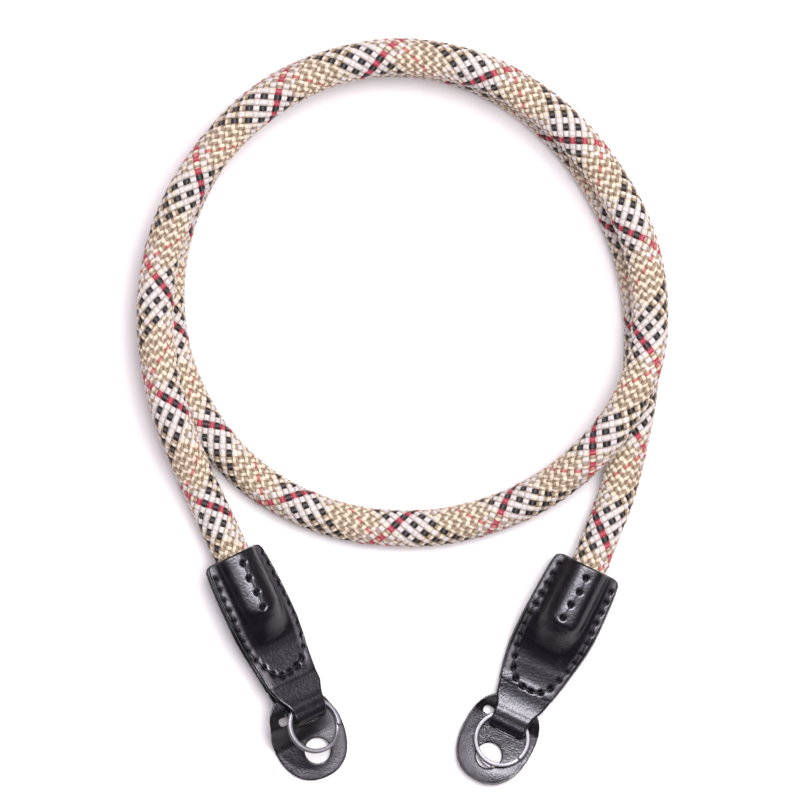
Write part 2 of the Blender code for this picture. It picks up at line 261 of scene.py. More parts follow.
def smooth_curve(points, count):
    """`count` points spaced evenly along the centripetal Catmull-Rom curve through `points`."""
    knots = np.array(points, float)
    knots = np.vstack([2 * knots[0] - knots[1], knots, 2 * knots[-1] - knots[-2]])
    steps = np.sqrt(np.linalg.norm(np.diff(knots, axis=0), axis=1))
    u = np.linspace(0, 1, CURVE_STEPS, endpoint=False)[:, None]
    pieces = []
    for i in range(1, len(knots) - 2):
        before, start, end, after = knots[i - 1 : i + 3]
        d0, d1, d2 = steps[i - 1 : i + 2]
        leave = d1 * ((start - before) / d0 - (end - before) / (d0 + d1)) + (end - start)
        arrive = d1 * ((after - end) / d2 - (after - start) / (d1 + d2)) + (end - start)
        pieces.append(
            (2 * u**3 - 3 * u**2 + 1) * start
            + (u**3 - 2 * u**2 + u) * leave
            + (3 * u**2 - 2 * u**3) * end
            + (u**3 - u**2) * arrive
        )
    curve = np.vstack([*pieces, knots[-2:-1]])
    along = distances_along(curve)
    even = np.linspace(0, along[-1], count)
    return np.stack([np.interp(even, along, column) for column in curve.T], axis=1)


def distances_along(curve):
    """How far along the curve each of its points lies."""
    return np.r_[0, np.cumsum(np.linalg.norm(np.diff(curve, axis=0), axis=1))]


def unit(vectors):
    return vectors / np.linalg.norm(vectors, axis=-1, keepdims=True)


def circle_angles(count):
    return np.linspace(0, 2 * np.pi, count, endpoint=False)


print("curves through hand-picked points, with", CURVE_STEPS, "steps between two of them")

# %% Meshes
PARTS = bpy.data.collections.new("camera_neck_strap")
bpy.context.scene.collection.children.link(PARTS)


def new_piece(name, points, quads, material, triangles=()):
    """A smooth mesh object from points in millimetres, quads and, for caps, triangles."""
    corners = [np.asarray(quads, int).ravel()]
    sizes = [np.full(len(quads), 4)]
    if len(triangles):
        corners.append(np.asarray(triangles, int).ravel())
        sizes.append(np.full(len(triangles), 3))
    corners, sizes = np.concatenate(corners), np.concatenate(sizes)
    mesh = bpy.data.meshes.new(name)
    mesh.vertices.add(len(points))
    mesh.vertices.foreach_set("co", (np.asarray(points) * MM).astype(np.float32).ravel())
    mesh.loops.add(len(corners))
    mesh.loops.foreach_set("vertex_index", corners.astype(np.int32))
    mesh.polygons.add(len(sizes))
    starts = np.concatenate([[0], np.cumsum(sizes)[:-1]])
    mesh.polygons.foreach_set("loop_start", starts.astype(np.int32))
    mesh.polygons.foreach_set("loop_total", sizes.astype(np.int32))
    mesh.update(calc_edges=True)
    mesh.validate()
    mesh.polygons.foreach_set("use_smooth", np.full(len(mesh.polygons), True))
    mesh.materials.append(material)
    piece = bpy.data.objects.new(name, mesh)
    PARTS.objects.link(piece)
    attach(piece, "root")
    return piece


def add_uv(piece, name, corner_uv):
    layer = piece.data.uv_layers.new(name=name)
    layer.data.foreach_set("uv", np.asarray(corner_uv, np.float32).ravel())


def add_value(piece, name, values):
    layer = piece.data.attributes.new(name, "FLOAT", "POINT")
    layer.data.foreach_set("value", np.asarray(values, np.float32).ravel())


def ring_quads(rows, columns):
    """Quads of a tube of `rows` rings of `columns` points, closed round but open at its ends."""
    r, c = np.meshgrid(np.arange(rows - 1), np.arange(columns), indexing="ij")
    here, beside = r * columns + c, r * columns + (c + 1) % columns
    return np.stack([here, beside, beside + columns, here + columns], -1).reshape(-1, 4)


def end_fans(start, end, first_centre):
    """Triangles from a tube's first and last ring to their centre points, which follow each other."""
    return np.concatenate([
        np.stack([np.roll(start, -1), start, np.full(len(start), first_centre)], -1),
        np.stack([end, np.roll(end, -1), np.full(len(end), first_centre + 1)], -1),
    ])


def cap_fans(rows, columns, first_centre):
    """The two end fans of a tube of `rows` rings of `columns` points."""
    ring = np.arange(columns)
    return end_fans(ring, (rows - 1) * columns + ring, first_centre)


def lofted(name, rings, material):
    """A closed solid through rings of points (rows, columns, 3), with a flat fan at each end."""
    rows, columns = rings.shape[:2]
    centres = rings[[0, -1]].mean(axis=1)
    points = np.concatenate([rings.reshape(-1, 3), centres])
    caps = cap_fans(rows, columns, rows * columns)
    return new_piece(name, points, ring_quads(rows, columns), material, triangles=caps)


print("pieces go into", PARTS.name)

# %% [markdown]
# ## The rope's route
#
# The rope leaves the left pocket, climbs onto its own last turn, goes nearly once round on top of
# it, comes down inside and runs round once more on the table to the right pocket. The route is a
# given row of points of its centre line, the same as the solid's, joined by a smooth curve.
# At each point of it a frame of three directions is kept: along, left of travel, and up.

# %% The rope's route
ROPE_DIAMETER = 11.0
ON_TABLE = 5.55
ON_ITSELF = 16.95
RoutePoint = namedtuple("RoutePoint", "x y z")
ROPE_ROUTE = table_of(RoutePoint, [
    (-46.4, 17.0, 7.3), (-53.9, 32.7, 7.3), (-59.3, 44.3, 7.4), (-64.9, 56.6, 9.4), (-70.3, 69.8, 14.1),
    (-74.4, 84.1, 16.2), (-76.8, 103.9, ON_ITSELF), (-74.0, 125.5, ON_ITSELF), (-64.9, 146.0, ON_ITSELF),
    (-50.0, 163.5, ON_ITSELF), (-29.9, 176.4, ON_ITSELF), (-5.4, 182.0, ON_ITSELF), (19.4, 178.0, ON_ITSELF),
    (41.1, 165.5, ON_ITSELF), (56.5, 148.7, ON_ITSELF), (66.6, 130.3, ON_ITSELF), (71.0, 110.4, ON_ITSELF),
    (69.6, 90.8, ON_ITSELF), (62.8, 75.1, 16.5), (52.8, 62.8, 13.4), (40.7, 53.0, 8.4), (25.7, 45.6, 6.0),
    (5.9, 41.1, ON_TABLE), (-19.2, 42.7, ON_TABLE), (-43.4, 53.0, ON_TABLE), (-60.5, 69.7, ON_TABLE),
    (-70.9, 90.9, ON_TABLE), (-73.7, 113.0, ON_TABLE), (-69.3, 135.9, ON_TABLE), (-57.3, 157.0, ON_TABLE),
    (-37.8, 173.4, ON_TABLE), (-13.8, 181.4, ON_TABLE), (11.2, 179.8, ON_TABLE), (32.6, 170.0, ON_TABLE),
    (48.9, 155.0, ON_TABLE), (59.7, 138.3, ON_TABLE), (66.6, 120.3, ON_TABLE), (69.2, 102.9, ON_TABLE),
    (67.9, 79.1, ON_TABLE), (65.6, 67.4, ON_TABLE), (61.9, 52.4, 6.0), (56.7, 38.6, 7.05), (53.1, 29.5, 7.3),
    (45.4, 13.8, 7.3),
])
ROUTE_POINTS = 3000
route = smooth_curve(ROPE_ROUTE, ROUTE_POINTS)
route_s = distances_along(route)
ROPE_LENGTH = route_s[-1]
ahead = unit(np.gradient(route, axis=0))
left_of = unit(np.cross([0, 0, 1], ahead))
up_of = np.cross(ahead, left_of)


def on_route(values, s):
    """The route's points or directions at distances s, in straight steps between its points."""
    return np.stack([np.interp(s, route_s, column) for column in values.T], axis=-1)


def around_route(s, angle_deg, radius):
    """Points at `radius` from the centre line, at an angle from the top towards the left."""
    angle = np.radians(angle_deg)[..., None]
    out = np.cos(angle) * on_route(up_of, s) + np.sin(angle) * on_route(left_of, s)
    return on_route(route, s) + radius[..., None] * out


print(f"rope {ROPE_LENGTH:.1f} mm long")

# %% [markdown]
# ## The braid's lattice
#
# Twelve bundles of two yarns wind round the rope one way and twelve the other way, each going over
# one bundle and under the next. Unrolled, their crossings are a lattice of diamonds: a counts the
# bundles of the first set and b those of the second. Where a and b are both near whole numbers
# whose difference is even, the first set is on top, and where it is odd, the second. The grid of
# the mesh runs along a and b with six steps a bundle, so that a colour always ends on an edge.
#
# The three black bundles of the first set pass the top of the rope once a turn. The table gives
# where each of these dark bands lies, and by how many degrees the lattice has turned round the
# rope there.

# %% The braid's lattice
BUNDLES = 12
BUNDLE_DEG = 360 / BUNDLES
STEPS = 6
BAND_SHEAR = 0.54
COVER_MARGIN = 0.6
FIRST_BAND = -1
FINE_STEPS = 2000
DarkBand = namedtuple("DarkBand", "s turn")
DARK_BANDS = table_of(DarkBand, [
    (-3.3, 9.0), (30.9, 9.0), (65.1, 3.6), (98.5, -7.2), (131.6, -16.5), (166.0, -15.0), (200.3, -5.9),
    (233.7, -4.9), (267.5, -2.9), (300.9, -2.1), (334.3, -3.5), (367.3, -12.0), (402.1, -13.2),
    (436.0, -13.6), (470.3, -9.7), (504.6, -4.5), (538.0, -5.5), (571.9, -3.6), (608.1, -2.0),
    (644.2, -5.0), (679.4, -3.0), (714.0, -5.0), (747.6, -3.5), (779.9, -7.0), (808.7, 5.0),
    (843.6, 17.0), (878.5, 17.0),
])
band_s, band_turn = np.array(DARK_BANDS).T
band_number = FIRST_BAND + np.arange(len(DARK_BANDS))
fine_s = np.linspace(COVER_MARGIN, ROPE_LENGTH - COVER_MARGIN, FINE_STEPS)
fine_turn = np.interp(fine_s, band_s, band_turn)
fine_count = BUNDLES * np.interp(fine_s, band_s, band_number)
fine_row = (fine_count + fine_turn / BUNDLE_DEG) * 2 * STEPS


def lattice_points(first_row, last_row):
    """(q, h, s, angle) of the lattice's points, where q counts along the rope and h round it.

    Every second row is shifted by half a step, and the bands lean a little, as a sine of the angle.
    """
    rows = np.arange(first_row, last_row + 2)[:, None]
    columns = np.arange(BUNDLES * STEPS)[None, :]
    h = (2 * columns + rows % 2) / (2 * STEPS)
    q = rows / (2 * STEPS) + 0 * h
    straight_s = np.interp(q * 2 * STEPS, fine_row, fine_s)
    angle = np.interp(straight_s, fine_s, fine_turn) + BUNDLE_DEG * h
    s = np.clip(straight_s - BAND_SHEAR * np.sin(np.radians(angle)), 0, ROPE_LENGTH)
    return q, h, s, angle


print("lattice rows", int(fine_row[0]), "to", int(fine_row[-1]))

# %% [markdown]
# ## The braid's relief
#
# A flat pattern on a smooth tube wouldn't catch the light as yarn does, so the bundles are real
# relief. Each set rises and falls as a cosine from crossing to crossing, and the higher of the two
# is the surface. Across a bundle lie two round yarns on a low arch.

# %% The braid's relief
BASE_RADIUS = 4.9
OVER_RISE = 0.42
YARN_RISE = 0.2
YARN_HALF_WIDTH = 0.27
BUNDLE_RISE = 0.16
BLACK_SINK = 0.16
BLACK_BUNDLES = (0, 2, 10)


def bundle_section(v):
    """Height across a bundle, v from -0.5 to 0.5: a low arch with two round yarns on it."""
    yarn = np.sqrt(np.clip(1 - ((np.abs(v) - 0.25) / YARN_HALF_WIDTH) ** 2, 0, 1))
    return BUNDLE_RISE * (1 - (2 * v) ** 2) + YARN_RISE * yarn


def braid_heights(a, b):
    """Heights of the first and second set at (a, b): over and under as a cosine, plus section.

    The black yarns are slimmer, so the white ones crowd in on them.
    """
    j, i = np.round(a), np.round(b)
    wave_a, wave_b = np.cos(np.pi * (b - j)), -np.cos(np.pi * (a - i))
    slim = BLACK_SINK * np.isin(j % BUNDLES, BLACK_BUNDLES)
    first = OVER_RISE * wave_a + bundle_section(a - j) - slim
    second = OVER_RISE * wave_b + bundle_section(b - i)
    return first, second


def braid_crown(a, b, first, second):
    """1 in the middle of each crossing, where the upper bundle is at its highest, down to 0."""
    upper = np.where(first > second, np.cos(np.pi * (b - np.round(a))), -np.cos(np.pi * (a - np.round(b))))
    return np.clip(upper, 0, 1)


across_all = np.linspace(0, BUNDLES, 400)
relief = np.maximum(*braid_heights(across_all, 0 * across_all))
print(f"relief of the braid {relief.min():.2f} to {relief.max():.2f} mm over its base")

# %% [markdown]
# ## The braid's cover
#
# Four neighbours of the lattice make one diamond face. So the edges of the mesh run along the
# yarns and not along the rope, and no colour has to end inside a face. Each stretch of the cover
# is closed by a fan at both its ends, whose rims are zigzags. A stretch also carries a and b as
# its own UV map, the difference of the two heights and the crown, which its material reads.

# %% The braid's cover
def diamond_quads(first_row, last_row):
    """The four corners (low, left, high, right) of each diamond, row by row."""
    per_row = BUNDLES * STEPS
    r, c = np.meshgrid(np.arange(last_row - first_row), np.arange(per_row), indexing="ij")
    odd = (r + first_row) % 2
    low, high = r * per_row + c, (r + 2) * per_row + c
    right = (r + 1) * per_row + (c + odd) % per_row
    left = (r + 1) * per_row + (c - 1 + odd) % per_row
    return np.stack([low, left, high, right], -1).reshape(-1, 4)


def diamond_uv(q, h):
    """(a, b) = (q + h, q - h) at the corners of each diamond, counted on from its low corner."""
    step = 1 / (2 * STEPS)
    corner_q = q[:-2].reshape(-1, 1) + step * np.array([0, 1, 2, 1])
    corner_h = h[:-2].reshape(-1, 1) + step * np.array([0, -1, 0, 1])
    return np.stack([corner_q + corner_h, corner_q - corner_h], -1).reshape(-1, 2)


def zigzag_ring(row, first_row):
    """One row of points and the next as a single ring, in their order round the rope."""
    per_row = BUNDLES * STEPS
    near = np.arange(per_row)
    far = (near + (row + first_row) % 2) % per_row
    return np.stack([row * per_row + near, (row + 1) * per_row + far], -1).ravel()


def braid_piece(name, first_row, last_row, material):
    """One stretch of the braid's cover, between two rows of the lattice, closed at both ends."""
    q, h, s, angle = lattice_points(first_row, last_row)
    a, b = q + h, q - h
    first, second = braid_heights(a, b)
    points = around_route(s, angle, BASE_RADIUS + np.maximum(first, second)).reshape(-1, 3)
    start, end = zigzag_ring(0, first_row), zigzag_ring(len(q) - 2, first_row)
    centres = np.stack([points[start].mean(0), points[end].mean(0)])
    fans = end_fans(start, end, len(points))[:, ::-1]
    quads = diamond_quads(first_row, last_row)
    piece = new_piece(name, np.concatenate([points, centres]), quads, material, triangles=fans)
    add_uv(piece, "bundles", np.concatenate([diamond_uv(q, h), np.zeros((3 * len(fans), 2))]))
    add_value(piece, "first_over_second", np.r_[(first - second).ravel(), 0, 0])
    add_value(piece, "crown", np.r_[braid_crown(a, b, first, second).ravel(), 0, 0])
    return piece


print("diamonds a turn", BUNDLES * STEPS)

# %% [markdown]
# ## The braid's colours
#
# The pattern is charted as a weaver would chart it: one letter for each of the 24 yarns of a set.
# In the first set three bundles are black with white ones between them, one yarn is a pale red and
# the rest are cream beside tan. In the second set one bundle is red, and it crosses the dark band
# on its far side. A colour ramp with constant steps is the whole chart: the place on it is the
# bundle's number, and the edge between the two sets is where their heights are equal.

# %% The braid's chart
# black, white, cream, tan, red and the pale red
YARNS = {
    "k": (0.009, 0.006, 0.006),
    "w": (0.67, 0.645, 0.63),
    "c": (0.76, 0.68, 0.53),
    "t": (0.33, 0.255, 0.17),
    "r": (0.40, 0.03, 0.06),
    "s": (0.50, 0.15, 0.13),
}
FIRST_SET = "kk" "ww" "kk" "wc" "tc" "tc" "sc" "tc" "tc" "tc" "kk" "ww"
SECOND_SET = "ww" "ww" "rr" "ww" "wt" "ct" "ct" "ct" "ct" "ct" "cw" "ww"
RAMP_END = 0.999


def chart_ramp(tree, place, letters):
    """The chart as a constant colour ramp, read at `place`, which is from 0 to 1 over 24 yarns."""
    made = node(tree, "ShaderNodeValToRGB", {"Fac": place})
    ramp = made.color_ramp
    ramp.interpolation = "CONSTANT"
    while len(ramp.elements) < len(letters):
        ramp.elements.new(RAMP_END)
    for index, letter in enumerate(letters):
        ramp.elements[index].position = index / len(letters)
        ramp.elements[index].color = (*YARNS[letter], 1)
    return made.outputs["Color"]


def bundle_place(tree, count):
    """Where bundle number `count` lies on the chart: (count + 1/2) / 12, without its whole part."""
    return math_node(tree, "FRACT", times(tree, plus(tree, count, 0.5), 1 / BUNDLES))


def upper_of(tree, on_top, first, second):
    """The first value where the first set is on top, or else the second."""
    return node(tree, "ShaderNodeMix", {0: on_top, 2: second, 3: first}, data_type="FLOAT").outputs[0]


print("yarns in a set", len(FIRST_SET), len(SECOND_SET))

# %% [markdown]
# ## The yarn
#
# Polyester yarn is a bunch of fine fibres. Its colour carries painted light: painted shade off
# the crest of each yarn, a painted highlight in the middle of a crossing, and painted shade that
# darkens it and makes it warmer where a bundle dives under the next, for light that has bounced
# from yarn to yarn there. The bump adds the twist of the fibres, which is too fine for the mesh.

# %% The yarn
YARNS_IN_BUNDLE = 2.0
CREST_FALL = 3.9
TWISTS_PER_BUNDLE = 44.0
TWIST_LEAN = 5.0
FIBRES_PER_METRE = 2600.0
PATCHES_PER_METRE = 260.0
DIVING_SHADE = 0.47
CREST_SHADE = 0.82
RED_POWER = 0.85
BLUE_POWER = 1.2
CROWN_PAINTED_HIGHLIGHT = (1.0, 0.98, 0.95, 1)


def yarn_shade(tree, crown, crest, patch, fibre):
    """Brightness of the yarn, as a product: painted shade where it dives and off its crest,
    and its own tone in slow patches and single fibres.
    """
    # painted shade: the yarn's colour darkens where a bundle dives under the next
    lit = remap(tree, crown, 0.2, 0.78, DIVING_SHADE, 1.0)
    # painted shade: darker off the crest of each yarn
    rounded = remap(tree, crest, 0.2, 0.8, CREST_SHADE, 1.0)
    return times(tree, lit, rounded, remap(tree, patch, 0.3, 0.7, 0.9, 1.08),
                 remap(tree, fibre, 0.3, 0.7, 0.9, 1.06))


def braid_material():
    material, tree, shader = new_material("braided_yarn")
    uv = node(tree, "ShaderNodeUVMap", uv_map="bundles").outputs[0]
    split = node(tree, "ShaderNodeSeparateXYZ", {0: uv})
    a, b = split.outputs[0], split.outputs[1]
    on_top = math_node(tree, "GREATER_THAN", attribute(tree, "first_over_second"), 0.0)
    first = chart_ramp(tree, bundle_place(tree, a), FIRST_SET)
    second = chart_ramp(tree, bundle_place(tree, b), SECOND_SET)
    colour = mix_colour(tree, on_top, second, first)
    # places across and along whichever yarn is on top
    in_yarn = math_node(tree, "FRACT", times(tree, upper_of(tree, on_top, a, b), YARNS_IN_BUNDLE))
    off_axis = math_node(tree, "ABSOLUTE", math_node(tree, "SUBTRACT", in_yarn, 0.5))
    fallen = times(tree, CREST_FALL, times(tree, off_axis, off_axis))
    crest = math_node(tree, "SQRT", math_node(tree, "SUBTRACT", 1.0, fallen))
    along = upper_of(tree, on_top, b, a)
    wound = plus(tree, times(tree, along, TWISTS_PER_BUNDLE), times(tree, in_yarn, TWIST_LEAN))
    twist = math_node(tree, "SINE", wound)
    place = object_place(tree)
    fibre = noise(tree, place, FIBRES_PER_METRE, detail=3.0)
    patch = noise(tree, place, PATCHES_PER_METRE)
    crown = attribute(tree, "crown")
    shade = yarn_shade(tree, crown, crest, patch, fibre)
    # the painted shade turns warmer as it deepens: red falls slower and blue faster
    red, blue = (math_node(tree, "POWER", shade, power) for power in (RED_POWER, BLUE_POWER))
    warm = node(tree, "ShaderNodeCombineColor", {0: red, 1: shade, 2: blue})
    colour_with_painted_shade = mix_colour(tree, 1.0, colour, warm.outputs[0], blend="MULTIPLY")
    fine = plus(tree, times(tree, twist, 0.35), times(tree, fibre, 0.8), times(tree, crest, 1.2))
    set_inputs(tree, shader, {
        # a painted highlight whitens the middle of each crossing
        "Base Color": mix_colour(tree, remap(tree, crown, 0.75, 1.0, 0.0, 0.07), colour_with_painted_shade, CROWN_PAINTED_HIGHLIGHT),
        "Normal": bumped(tree, fine, 0.45, 0.12 * MM),
        "Roughness": 0.62,
        "Sheen Weight": 0.05,
        "Sheen Roughness": 0.5,
        "Specular IOR Level": 0.3,
    })
    return material


def core_material():
    """The white inner yarns that the cover is braided on, seen only where the cover is cut."""
    material, tree, shader = new_material("core_yarn")
    fibre = noise(tree, object_place(tree), 1500.0)
    colour = mix_colour(tree, fibre, (0.55, 0.5, 0.42, 1), (0.8, 0.76, 0.68, 1))
    set_inputs(tree, shader, {"Base Color": colour, "Roughness": 0.9})
    return material


braid = braid_material()
print("nodes in the yarn", len(braid.node_tree.nodes))

# %% [markdown]
# ## The rope
#
# The cover is one surface, cut into four stretches so that none has too many faces. Inside it
# runs the core, a plain round tube, whose length is the route's, from deep in one pocket to deep
# in the other.

# %% The rope
COVER_STRETCHES = 4
CORE_RADIUS = 4.6
CORE_MARGIN = 1.5
CORE_ROWS = 400
CORE_COLUMNS = 16


def rope_core(s):
    """A round tube: points at one radius from the route, at the distances s and at even angles.

    The angles run towards the right of travel, so that the faces point outwards.
    """
    s, angle = np.meshgrid(s, -np.degrees(circle_angles(CORE_COLUMNS)), indexing="ij")
    return lofted("rope_core", around_route(s, angle, np.full(s.shape, CORE_RADIUS)), core_material())


cuts = np.linspace(math.ceil(fine_row[0]), math.floor(fine_row[-1]) - 2, COVER_STRETCHES + 1).astype(int)
covers = [
    braid_piece(f"braid_cover_{number}", first, last, braid)
    for number, (first, last) in enumerate(zip(cuts[:-1], cuts[1:]), 1)
]
core_s = np.linspace(CORE_MARGIN, ROPE_LENGTH - CORE_MARGIN, CORE_ROWS)
core = rope_core(core_s)
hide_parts("rope")
for cover in covers:
    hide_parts("rope")
print("braid cover", sum(len(c.data.polygons) for c in covers), "faces")

# %% [markdown]
# ## The two ends
#
# Each end has its own frame: t runs along the leather from its mouth, v across it and z up. The
# numbers are the solid's own, and the last five are the scene's: how far up the pad the slit is
# open, how much the pad is dished, where the leather stands off the rope in a low shoulder and how
# high, and towards which side the pad is worn rougher by rubbing and given a painted sheen of
# lighter grey. The left end lies rolled by 24 degrees with its ring held up, and the right one
# lies flat.

# %% The two ends
CLEARANCE = 0.3
NECK_HEIGHT = 2.5
End = namedtuple(
    "End",
    "side mouth heading roll neck_lift sway loop_shift ring_t ring_v flare hole_t hole_v pad_turn pad_shift"
    " slit_bottom dish shoulder_v shoulder rubbed_side",
)
ENDS = [
    End(
        side="left",
        mouth=(-53.95, 32.75),
        heading=-64.3,
        roll=24.0,
        neck_lift=3.2,
        sway=-0.3,
        loop_shift=-0.8,
        ring_t=56.65,
        ring_v=-0.1,
        flare=0.0,
        hole_t=64.1,
        hole_v=-2.4,
        pad_turn=-3.4,
        pad_shift=-0.95,
        slit_bottom=-8.9,
        dish=-0.8,
        shoulder_v=-3.2,
        shoulder=0.35,
        rubbed_side=(0.2, 1.0),
    ),
    End(
        side="right",
        mouth=(53.12, 29.48),
        heading=-116.2,
        roll=0.0,
        neck_lift=0.0,
        sway=-0.6,
        loop_shift=0.15,
        ring_t=58.15,
        ring_v=-0.4,
        flare=1.2,
        hole_t=64.4,
        hole_v=-1.7,
        pad_turn=-2.8,
        pad_shift=-0.2,
        slit_bottom=-8.1,
        dish=0.85,
        shoulder_v=3.9,
        shoulder=0.55,
        rubbed_side=(0.7, -0.7),
    ),
]


def turned(angle_deg, along, across):
    """The pair (along, across) turned by an angle."""
    cos, sin = math.cos(math.radians(angle_deg)), math.sin(math.radians(angle_deg))
    return along * cos - across * sin, along * sin + across * cos


def to_strap(end, points):
    """Points (..., 3) from an end's own (t, v, z) to the strap's (x, y, z)."""
    t, v, z = np.moveaxis(points, -1, 0)
    x, y = turned(end.heading, t, v)
    return np.stack([end.mouth[0] + x, end.mouth[1] + y, z], axis=-1)


print("ends", [(end.side, end.heading) for end in ENDS])

# %% [markdown]
# ## The leather strip's shape
#
# One strip makes the whole end: the front layer runs from the mouth over the rope to the neck, the
# loop carries it round the ring, and the back layer returns underneath. Over the rope each layer
# bulges in an arc with a fillet down to a flat margin, and the bulge fades out below the rope's
# end. The layers have settled with use, down below the rope's end and at the neck. A point is
# given by its row along the strip (t, rise, face) and its share q across it. The loop's rows are
# heights over the middle of the neck: over the ring, down and back.

# %% The leather strip's tables
LEATHER = 1.4
ROPE_HEIGHT = ROPE_ROUTE[0].z
WidthRow = namedtuple("WidthRow", "t left right")
STRIP_HALF_WIDTHS = table_of(WidthRow, [
    (0.0, 9.5, 10.3), (4.0, 10.0, 10.85), (7.0, 10.25, 11.1), (13.0, 10.5, 11.35), (20.0, 10.5, 11.5),
    (24.6, 10.4, 11.3), (30.3, 9.8, 10.75), (35.5, 9.0, 9.9), (40.5, 8.5, 8.8), (43.0, 8.2, 8.25),
    (45.0, 7.8, 7.8), (46.0, 7.4, 7.5), (47.0, 6.9, 7.0), (48.0, 6.4, 6.5), (49.0, 6.0, 6.1),
    (50.5, 5.7, 5.8), (53.0, 5.5, 5.6), (56.0, 5.4, 5.5),
])
LoopRow = namedtuple("LoopRow", "t rise")
RING_LOOP = table_of(LoopRow, [
    (42.0, 0.85), (44.6, 1.75), (47.3, 2.2), (50.3, 3.1), (52.8, 2.8), (54.4, 2.0), (55.05, 0.8),
    (55.05, -0.5), (54.5, -1.4), (53.2, -1.75), (49.0, -1.75), (44.6, -1.75), (42.0, -0.85),
])
LOOP_MOVES_WHOLE_T = RING_LOOP[2].t
SettledRow = namedtuple("SettledRow", "t front back")
SETTLED = table_of(SettledRow, [
    (0.0, -0.1, 0.0), (9.0, 0.3, 0.0), (18.0, 0.6, 0.0), (21.5, 0.2, 0.0), (26.0, -1.1, -0.9),
    (31.0, -1.4, -1.4), (35.0, -0.65, -0.7), (38.5, 0.0, -0.1), (41.5, 0.6, 0.0), (45.5, -0.6, 0.0),
    (47.5, -0.65, 0.0), (50.0, -0.75, 0.0), (52.0, -0.8, 0.0), (53.5, -0.4, 0.0), (56.0, 0.0, 0.0),
])
SETTLED_STEPS = 600
settled_t, settled_front, settled_back = smooth_curve(SETTLED, SETTLED_STEPS).T
print("leather settles by up to", -min(row.front for row in SETTLED), "mm")

# %% The leather strip's section
POCKET_END = 18.5
BULGE_END = 29.0
ROPE_TIP = 14.0
SEAM_END = 42.0
NECK_START = 44.6
LAYER_OFFSET = (LEATHER + CLEARANCE) / 2
BULGE_RADIUS = ROPE_DIAMETER / 2 + CLEARANCE + LEATHER / 2
BULGE_FILLET = 4.0
MOUTH_CORNER = 2.0
BACK_OVERHANG = 0.3


def half_width_at(end, t):
    """Half the strip's width at t, with the mouth's corners rounded off."""
    rows = STRIP_HALF_WIDTHS
    width = np.interp(t, [row.t for row in rows], [getattr(row, end.side) for row in rows])
    short = np.clip(MOUTH_CORNER - t, 0, MOUTH_CORNER)
    return width - MOUTH_CORNER + np.sqrt(MOUTH_CORNER**2 - short**2)


def bulge_section(share, half_width):
    """(v, rise) at this share of the way from the crown of the bulge out to the strip's edge.

    The way is an arc over the rope, a fillet that bends back by the same angle, and a flat margin.
    """
    drop = LAYER_OFFSET + BULGE_FILLET
    lean = math.asin(drop / (BULGE_RADIUS + BULGE_FILLET))
    margin_start = (BULGE_RADIUS + BULGE_FILLET) * math.cos(lean)
    turn = math.pi / 2 - lean
    arc, fillet = BULGE_RADIUS * turn, BULGE_FILLET * turn
    s = share * (arc + fillet + half_width - margin_start)
    on_arc, in_fillet = s / BULGE_RADIUS, turn - (s - arc) / BULGE_FILLET
    stretch = [s < arc, s < arc + fillet]
    v_bent = [BULGE_RADIUS * np.sin(on_arc), margin_start - BULGE_FILLET * np.sin(in_fillet)]
    rise_bent = [BULGE_RADIUS * np.cos(on_arc), drop - BULGE_FILLET * np.cos(in_fillet)]
    v = np.select(stretch, v_bent, margin_start + s - arc - fillet)
    return v, np.select(stretch, rise_bent, LAYER_OFFSET)


crown_height = ROPE_HEIGHT + float(bulge_section(np.zeros(1), 10.0)[1][0]) + LEATHER / 2
print(f"the bulge is {crown_height:.1f} mm high over the rope")

# %% The leather strip's surface
SWAY_START = POCKET_END - 3
SWAY_LENGTH = 20
SMALL_T = 0.05
SMALL_Q = 0.004


def strip_middle(end, t, rise, face, q):
    """Points (t, v, z) of the strip's middle surface, whose arguments may all be arrays.

    The bulge fades out by a smoothstep that starts sooner off the middle, because the rope's end
    is round, and the strip's spine falls from the rope's height to the neck's.
    """
    front, back = np.interp(t, settled_t, settled_front), np.interp(t, settled_t, settled_back)
    settle = np.where(np.asarray(rise) > 0, front, back)
    t = t + end.loop_shift * smoothstep((t - SEAM_END) / (LOOP_MOVES_WHOLE_T - SEAM_END))
    half_width = half_width_at(end, t) + BACK_OVERHANG * (face < 0)
    fade_start = POCKET_END - ROPE_TIP * q**2
    bulge = (1 - smoothstep((t - fade_start) / (BULGE_END - fade_start))) * (face != 0)
    arch_v, arch_rise = bulge_section(np.abs(q), half_width)
    v = q * half_width + (np.copysign(arch_v, q) - q * half_width) * bulge
    rise = rise + face * (arch_rise - LAYER_OFFSET) * bulge
    v = v + end.sway * smoothstep((t - SWAY_START) / SWAY_LENGTH)
    fall = smoothstep((t - POCKET_END) / (NECK_START - POCKET_END))
    spine = ROPE_HEIGHT + (NECK_HEIGHT + end.neck_lift - ROPE_HEIGHT) * fall
    cos, sin = math.cos(math.radians(end.roll)), math.sin(math.radians(end.roll))
    height = spine + settle - v * sin + rise * cos
    return np.stack([t + 0 * v, v * cos + rise * sin, height], axis=-1)


def outer_face(end, face, t, q):
    """Points and outward directions on the outside of the front (1) or back (-1) layer."""
    t, q = np.asarray(t, float), np.asarray(q, float)
    middle = strip_middle(end, t, LAYER_OFFSET * face, face, q)
    along = strip_middle(end, t + SMALL_T, LAYER_OFFSET * face, face, q) - middle
    across = strip_middle(end, t, LAYER_OFFSET * face, face, q - SMALL_Q) - middle
    out = -face * unit(np.cross(along, across))
    return middle + LEATHER / 2 * out, out


for end in ENDS:
    print(end.side, "neck is at z", outer_face(end, 1, NECK_START, 0.0)[0][2].round(2))

# %% [markdown]
# ## The seams
#
# Each end is closed by a U of stitches with a short row up its middle. A table gives the U through
# its holes, counted in t and in the share q, and the holes are then spaced evenly on it, as a
# leather worker's fork with its even teeth would punch them.

